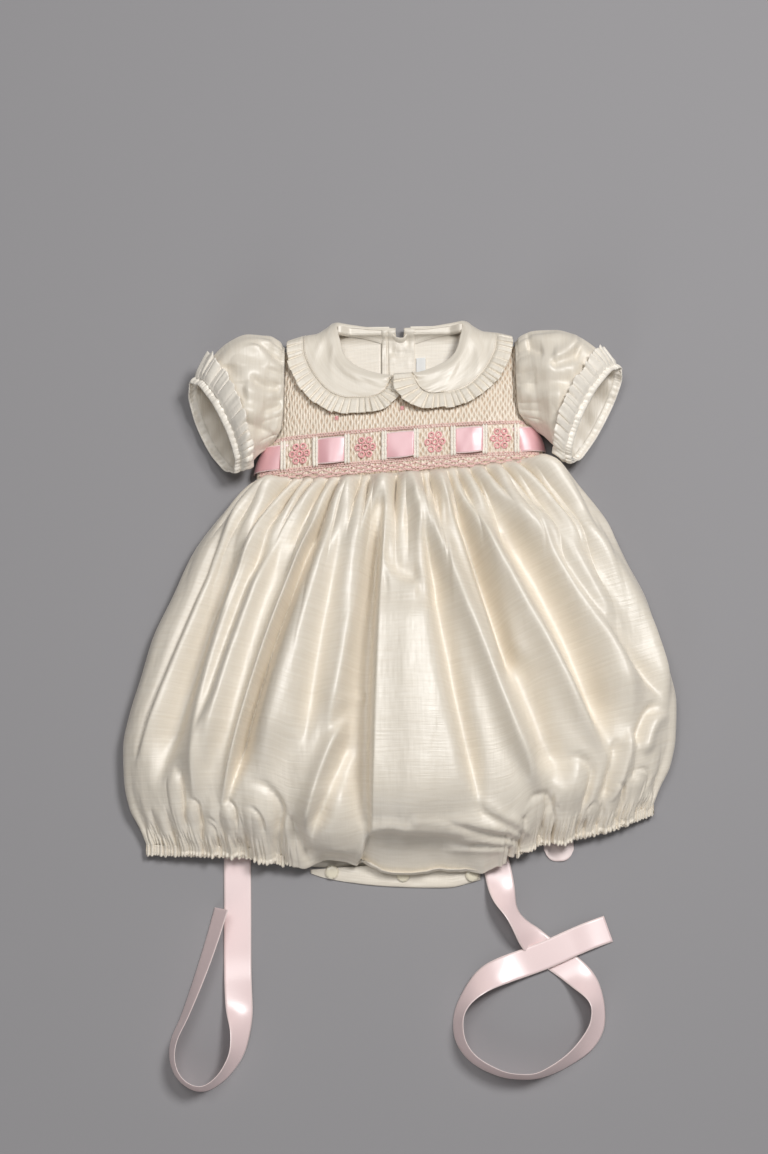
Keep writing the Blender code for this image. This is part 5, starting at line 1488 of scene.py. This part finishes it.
def satin_ribbon(name, colour, edge_colour, roughness=0.24):
    """Polyester satin ribbon: floats along its length give a broad gloss, and a woven selvedge."""
    made, tree, output = new_material(name)
    mark = add(tree, "ShaderNodeUVMap", uv_map="cloth")
    across = add(tree, "ShaderNodeSeparateXYZ", {"Vector": mark}).outputs["Y"]
    off_middle = add(tree, "ShaderNodeMath", {0: across}, {1: 0.5}, operation="SUBTRACT")
    far = add(tree, "ShaderNodeMath", {0: off_middle}, operation="ABSOLUTE")
    selvedge = add(tree, "ShaderNodeMapRange", {"Value": far}, {"From Min": 0.45, "From Max": 0.465})
    rib_map = add(tree, "ShaderNodeMapping", {"Vector": mark}, {"Scale": RIB_SCALE})
    ribs = add(tree, "ShaderNodeTexNoise", {"Vector": rib_map}, {"Scale": 1, "Detail": 2})
    skin = add(tree, "ShaderNodeMix", {"Factor": selvedge}, data_type="RGBA")
    skin.inputs["A"].default_value, skin.inputs["B"].default_value = paint(colour), paint(edge_colour)
    bump = add(tree, "ShaderNodeBump", {"Height": ribs}, {"Strength": 0.12, "Distance": 0.0003})
    shader = add(tree, "ShaderNodeBsdfPrincipled", {"Base Color": skin, "Normal": bump},
                 {"Roughness": roughness, "Sheen Weight": 0.2, "Sheen Roughness": 0.3,
                  "Specular IOR Level": 1, "IOR": 1.6})
    tree.links.new(shader.outputs["BSDF"], output.inputs["Surface"])
    return made


def floss(name, colour, roughness=0.55):
    """Stranded embroidery cotton: soft, twisted, with a faint sheen.

    The UV is one stitch long and one turn round, so the waves are the strands of the twist.
    """
    made, tree, output = new_material(name)
    mark = add(tree, "ShaderNodeUVMap", uv_map="cloth")
    twist = add(tree, "ShaderNodeMapping", {"Vector": mark}, {"Scale": (2, 2, 1), "Rotation": (0, 0, 0.7)})
    strands = add(tree, "ShaderNodeTexWave", {"Vector": twist}, {"Scale": 1.2, "Distortion": 0.5})
    bump = add(tree, "ShaderNodeBump", {"Height": strands.outputs["Fac"]},
               {"Strength": 0.15, "Distance": 0.0002})
    shader = add(tree, "ShaderNodeBsdfPrincipled", {"Normal": bump},
                 {"Base Color": paint(colour), "Roughness": roughness, "Sheen Weight": 0.3,
                  "Sheen Roughness": 0.4})
    tree.links.new(shader.outputs["BSDF"], output.inputs["Surface"])
    return made


def solid_finish(name, colour, roughness, grain, coat=0.0, specular=0.5):
    """A moulded or woven piece of one colour with a fine grain, read from object coordinates."""
    made, tree, output = new_material(name)
    mark = add(tree, "ShaderNodeTexCoord").outputs["Object"]
    spots = add(tree, "ShaderNodeTexNoise", {"Vector": mark}, {"Scale": grain, "Detail": 3})
    bump = add(tree, "ShaderNodeBump", {"Height": spots}, {"Strength": 0.08, "Distance": 0.0003})
    shader = add(tree, "ShaderNodeBsdfPrincipled", {"Normal": bump},
                 {"Base Color": paint(colour), "Roughness": roughness, "Coat Weight": coat,
                  "Specular IOR Level": specular})
    tree.links.new(shader.outputs["BSDF"], output.inputs["Surface"])
    return made


class RomperSizes(bpy.types.PropertyGroup):
    """Sizes that a maker would change."""

    silk: bpy.props.FloatProperty(
        name="Silk", description="Thickness of the silk", default=0.0006, unit="LENGTH")
    frill: bpy.props.FloatProperty(
        name="Frill", description="Thickness of the frills", default=0.0004, unit="LENGTH")
    ribbon: bpy.props.FloatProperty(
        name="Ribbon", description="Thickness of the satin ribbon", default=0.0004, unit="LENGTH")
    ribbon_width: bpy.props.FloatProperty(
        name="Ribbon width", description="Width of the satin ribbon", default=0.020, unit="LENGTH")


class RomperColours(bpy.types.PropertyGroup):
    """Colours that a maker would change, as sRGB hex."""

    silk: bpy.props.StringProperty(name="Silk", description="Silk", default="#F0E7D8")
    slub: bpy.props.StringProperty(name="Slub", description="Slubs of the silk", default="#DCCFBA")
    # Painted light: the silk lightened for the cuff frills and bands, which face away from the lamps, and for
    # the ivory bars in the shade beside the ribbon.
    frill: bpy.props.StringProperty(name="Frill", description="Thin silk of the frills", default="#FBF3E6")
    # Painted shade: the reeds are the silk darkened, for the shade of the close smocking.
    smocked: bpy.props.StringProperty(
        name="Smocking", description="Reeds of the smocking", default="#EADAC5")
    # Painted shade: the darker colour mixed in between the reeds, where shade falls among them.
    gap_shade: bpy.props.StringProperty(
        name="Smocking hollows", description="Between the reeds", default="#C9AD91")
    # Painted sheen: the free ends are lighter than the same ribbon in the slots, for the gloss of the satin.
    satin: bpy.props.StringProperty(name="Ribbon", description="Satin ribbon", default="#FDE3E1")
    satin_edge: bpy.props.StringProperty(
        name="Selvedge", description="Edge of the ribbon", default="#FAE6E2")
    satin_deep: bpy.props.StringProperty(
        name="Threaded ribbon", description="Ribbon in the slots", default="#E9B0B5")
    pink: bpy.props.StringProperty(
        name="Rosettes", description="Embroidery of the flowers", default="#FFBDBE")
    pale: bpy.props.StringProperty(name="Stitches", description="Smocking stitches", default="#F8D0CB")
    tan: bpy.props.StringProperty(name="Seam", description="Stitches of the seams", default="#C2A684")
    pearl: bpy.props.StringProperty(name="Snaps", description="Pearl snaps", default="#EAE1CB")
    tape: bpy.props.StringProperty(name="Label", description="Tape of the bare label", default="#F2F2F0")
    floor: bpy.props.StringProperty(name="Floor", description="Paper on the floor", default="#9D9B9D")


def finish(name):
    """The named material, made once from the colours in the panel."""
    tone = bpy.context.scene.romper_colours
    maker, *looks = {
        "silk_dupion": (silk_dupion, tone.silk, tone.slub),
        # Painted light: the cuff frills and bands get a lighter copy of the silk.
        "silk_frill": (silk_dupion, tone.frill, tone.silk, 0.3, 0.46, 0.5),
        # Painted shade: the smocked silk is darker than the plain silk, and darker still between its reeds.
        "silk_smocked": (silk_dupion, tone.smocked, tone.slub, 0.3, 0.42, 0.3, tone.gap_shade),
        # Painted sheen: the free ends get a lighter pink than the threaded stretches of the same ribbon.
        "satin_tail": (satin_ribbon, tone.satin, tone.satin_edge, 0.34),
        "satin_threaded": (satin_ribbon, tone.satin_deep, tone.satin, 0.36),
        "satin_back": (satin_ribbon, tone.satin_edge, tone.satin_edge, 0.5),
        "floss_pink": (floss, tone.pink),
        "floss_pale": (floss, tone.pale),
        # The ivory bars take the lightened frill colour: painted light against the shade beside the ribbon.
        "floss_ivory": (floss, tone.frill),
        "floss_tan": (floss, tone.tan),
        "pearl_snap": (solid_finish, tone.pearl, 0.3, 900, 0.3),
        "label_tape": (solid_finish, tone.tape, 0.8, 4000),
        "studio_paper": (solid_finish, tone.floor, 0.95, 60, 0.0, 0.2),
    }[name]
    return bpy.data.materials.get(name) or maker(name, *looks)


def dress(piece, node="", trims=()):
    """Hides the solid of the node that a piece stands for, if one is given, and returns the piece."""
    if node:
        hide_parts(node)
    return piece


class MakeSkirt(bpy.types.Operator):
    """Bubble skirt: front, back, elastic leg edges and the crotch flap with its snaps"""

    bl_idname = "romper.skirt"
    bl_label = "Skirt"

    def execute(self, context):
        sizes = context.scene.romper_sizes
        silk, thick = finish("silk_dupion"), sizes.silk * 1000
        ruffles = [dress(leg_casing(side, silk, sizes.frill * 1000), "leg_casing_" + side) for side in SIGN]
        dress(skirt_front(silk, thick), "front_panel", trims=ruffles)
        dress(skirt_back(silk, thick), "skirt_back")
        dress(crotch_flap(silk), "crotch_flap")
        for number in (1, 2, 3):
            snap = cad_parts[f"snap_{number}"].data
            snap.materials.clear()
            snap.materials.append(finish("pearl_snap"))
        return {"FINISHED"}


class MakeBodice(bpy.types.Operator):
    """Smocked front of the bodice with its embroidery"""

    bl_idname = "romper.bodice"
    bl_label = "Smocked bodice"

    def execute(self, context):
        front = bodice_front(finish("silk_smocked"), context.scene.romper_sizes.silk * 1000)
        rosettes, spokes = flowers(finish("floss_pink"), finish("floss_pale"))
        stitching = [dress(piece)
                     for piece in (stitch_rows(finish("floss_pale")), rosettes, spokes)]
        stitching.append(dress(slot_bars(finish("floss_ivory"))))
        dress(front, "front_panel", trims=stitching)
        return {"FINISHED"}


class MakeBack(bpy.types.Operator):
    """Back of the bodice, its placket, facings and label"""

    bl_idname = "romper.back"
    bl_label = "Back"

    def execute(self, context):
        silk = finish("silk_dupion")
        made = [dress(facing("left", silk), "neck_facing_left"), dress(placket(silk), "back_placket"),
                dress(facing("right", silk), "neck_facing_right"),
                dress(label(finish("label_tape")), "size_label")]
        left, right = bodice_backs(silk, context.scene.romper_sizes.silk * 1000)
        dress(left, "bodice_back_left", trims=made[:1])
        dress(right, "bodice_back_right", trims=made[1:])
        return {"FINISHED"}


class MakeCollar(bpy.types.Operator):
    """Round collar in two halves, each with a pleated frill"""

    bl_idname = "romper.collar"
    bl_label = "Collar"

    def execute(self, context):
        for side in SIGN:
            half, frill, stitches = collar_half(side, finish("silk_dupion"),
                                                context.scene.romper_sizes.frill * 1000)
            dress(half, "collar_" + side, trims=[dress(stitches)])
            dress(frill, "collar_frill_" + side)
        return {"FINISHED"}


class MakeSleeves(bpy.types.Operator):
    """Puff sleeves with cuff bands and frills"""

    bl_idname = "romper.sleeves"
    bl_label = "Sleeves"

    def execute(self, context):
        for side in SIGN:
            puff, band, frill = sleeve(side, finish("silk_dupion"), context.scene.romper_sizes.frill * 1000)
            dress(puff, "sleeve_" + side, trims=[dress(band, "cuff_band_" + side)])
            dress(frill, "cuff_frill_" + side)
        return {"FINISHED"}


class MakeRibbon(bpy.types.Operator):
    """Satin ribbon: threaded stretches, turned ends and free ends"""

    bl_idname = "romper.ribbon"
    bl_label = "Ribbon"

    def execute(self, context):
        sizes = context.scene.romper_sizes
        thick, width = sizes.ribbon * 1000, sizes.ribbon_width * 1000
        deep = finish("satin_threaded")
        pieces = [(ribbon_window(number, middle, deep, thick), f"window_{number}", WINDOW, "laid")
                  for number, middle in enumerate(WINDOW_PLACES, 1)]
        pieces += [(ribbon_end(side, deep, thick), "end_" + side, (20, 22), "laid") for side in SIGN]
        pieces += [(ribbon_tail(side, rows, finish("satin_tail"), thick, width), "tail_" + side,
                    (width, long), "laid")
                   for side, rows, long in (("left", TAIL_LEFT, 600), ("right", TAIL_RIGHT, 730))]
        pieces.append((ribbon_fold(finish("satin_back"), thick), "fold", (22, 30), "folded"))
        for piece, node, flat, held in pieces:
            dress(piece, "ribbon_" + node)
        return {"FINISHED"}


def placed(name, data, place):
    """A light or the camera at a place in metres, linked to the scene."""
    made = bpy.data.objects.new(name, data)
    made.location = place
    bpy.context.scene.collection.objects.link(made)
    return made


class MakeStage(bpy.types.Operator):
    """Floor, soft studio light and the camera at the photograph's angle"""

    bl_idname = "romper.stage"
    bl_label = "Stage"

    def execute(self, context):
        corners = [(FLOOR_REACH * x, FLOOR_REACH * y, 0) for x, y in ((-1, -1), (1, -1), (1, 1), (-1, 1))]
        paper = bpy.data.meshes.new("floor")
        paper.from_pydata(corners, [], [(0, 1, 2, 3)])
        paper.materials.append(finish("studio_paper"))
        placed("floor", paper, (0, 0, -FLOOR_GAP))
        world = bpy.data.worlds.new("studio")
        world.use_nodes = True
        air = world.node_tree.nodes["Background"].inputs
        air["Color"].default_value = (1, 1, 1, 1)
        air["Strength"].default_value = AIR_LIGHT
        context.scene.world = world
        for name, place, size, power, aim in LIGHTS:
            data = bpy.data.lights.new(name, "AREA")
            data.shape = "SQUARE"
            data.size = size
            data.energy = power
            lamp = placed(name, data, place)
            gap = np.array(aim) - np.array(lamp.location)
            lamp.rotation_euler = (math.atan2(math.hypot(gap[0], gap[1]), -gap[2]), 0,
                                   math.atan2(gap[1], gap[0]) - math.pi / 2)
        data = bpy.data.cameras.new("camera")
        data.sensor_fit = "VERTICAL"
        data.sensor_height = FILM_HEIGHT
        data.lens = FILM_HEIGHT / 2 / math.tan(math.radians(CAMERA_VIEW / 2))
        aim = (ORIGIN + np.array(CAMERA_AIM)) / 1000
        tilt = math.radians(CAMERA_TILT)
        camera = placed("camera", data, (aim[0], aim[1] - CAMERA_FAR * math.cos(tilt),
                                         CAMERA_FAR * math.sin(tilt)))
        camera.rotation_euler = (math.pi / 2 - tilt, 0, 0)
        context.scene.camera = camera
        context.scene.view_settings.view_transform = "Standard"
        return {"FINISHED"}


STEPS = (MakeSkirt, MakeBodice, MakeBack, MakeCollar, MakeSleeves, MakeRibbon, MakeStage)


class RomperPanel(bpy.types.Panel):
    """Sizes, colours and the steps of the romper, in the sidebar"""

    bl_idname = "VIEW3D_PT_romper"
    bl_label = "Baby romper"
    bl_space_type = "VIEW_3D"
    bl_region_type = "UI"
    bl_category = "Romper"

    def draw(self, context):
        for group in (context.scene.romper_sizes, context.scene.romper_colours):
            for key in group.bl_rna.properties.keys():
                if key not in ("rna_type", "name"):
                    self.layout.prop(group, key)
        for step in STEPS:
            self.layout.operator(step.bl_idname)


CLASSES = (RomperSizes, RomperColours, *STEPS, RomperPanel)


def register():
    """Makes the classes and their settings known to Blender."""
    for each in CLASSES:
        bpy.utils.register_class(each)
    bpy.types.Scene.romper_sizes = bpy.props.PointerProperty(type=RomperSizes)
    bpy.types.Scene.romper_colours = bpy.props.PointerProperty(type=RomperColours)


def unregister():
    """Takes them out again, in the other order."""
    del bpy.types.Scene.romper_colours
    del bpy.types.Scene.romper_sizes
    for each in reversed(CLASSES):
        bpy.utils.unregister_class(each)


def main():
    register()
    for step in STEPS:
        group, name = step.bl_idname.split(".")
        getattr(getattr(bpy.ops, group), name)()


if __name__ == "__main__":
    main()
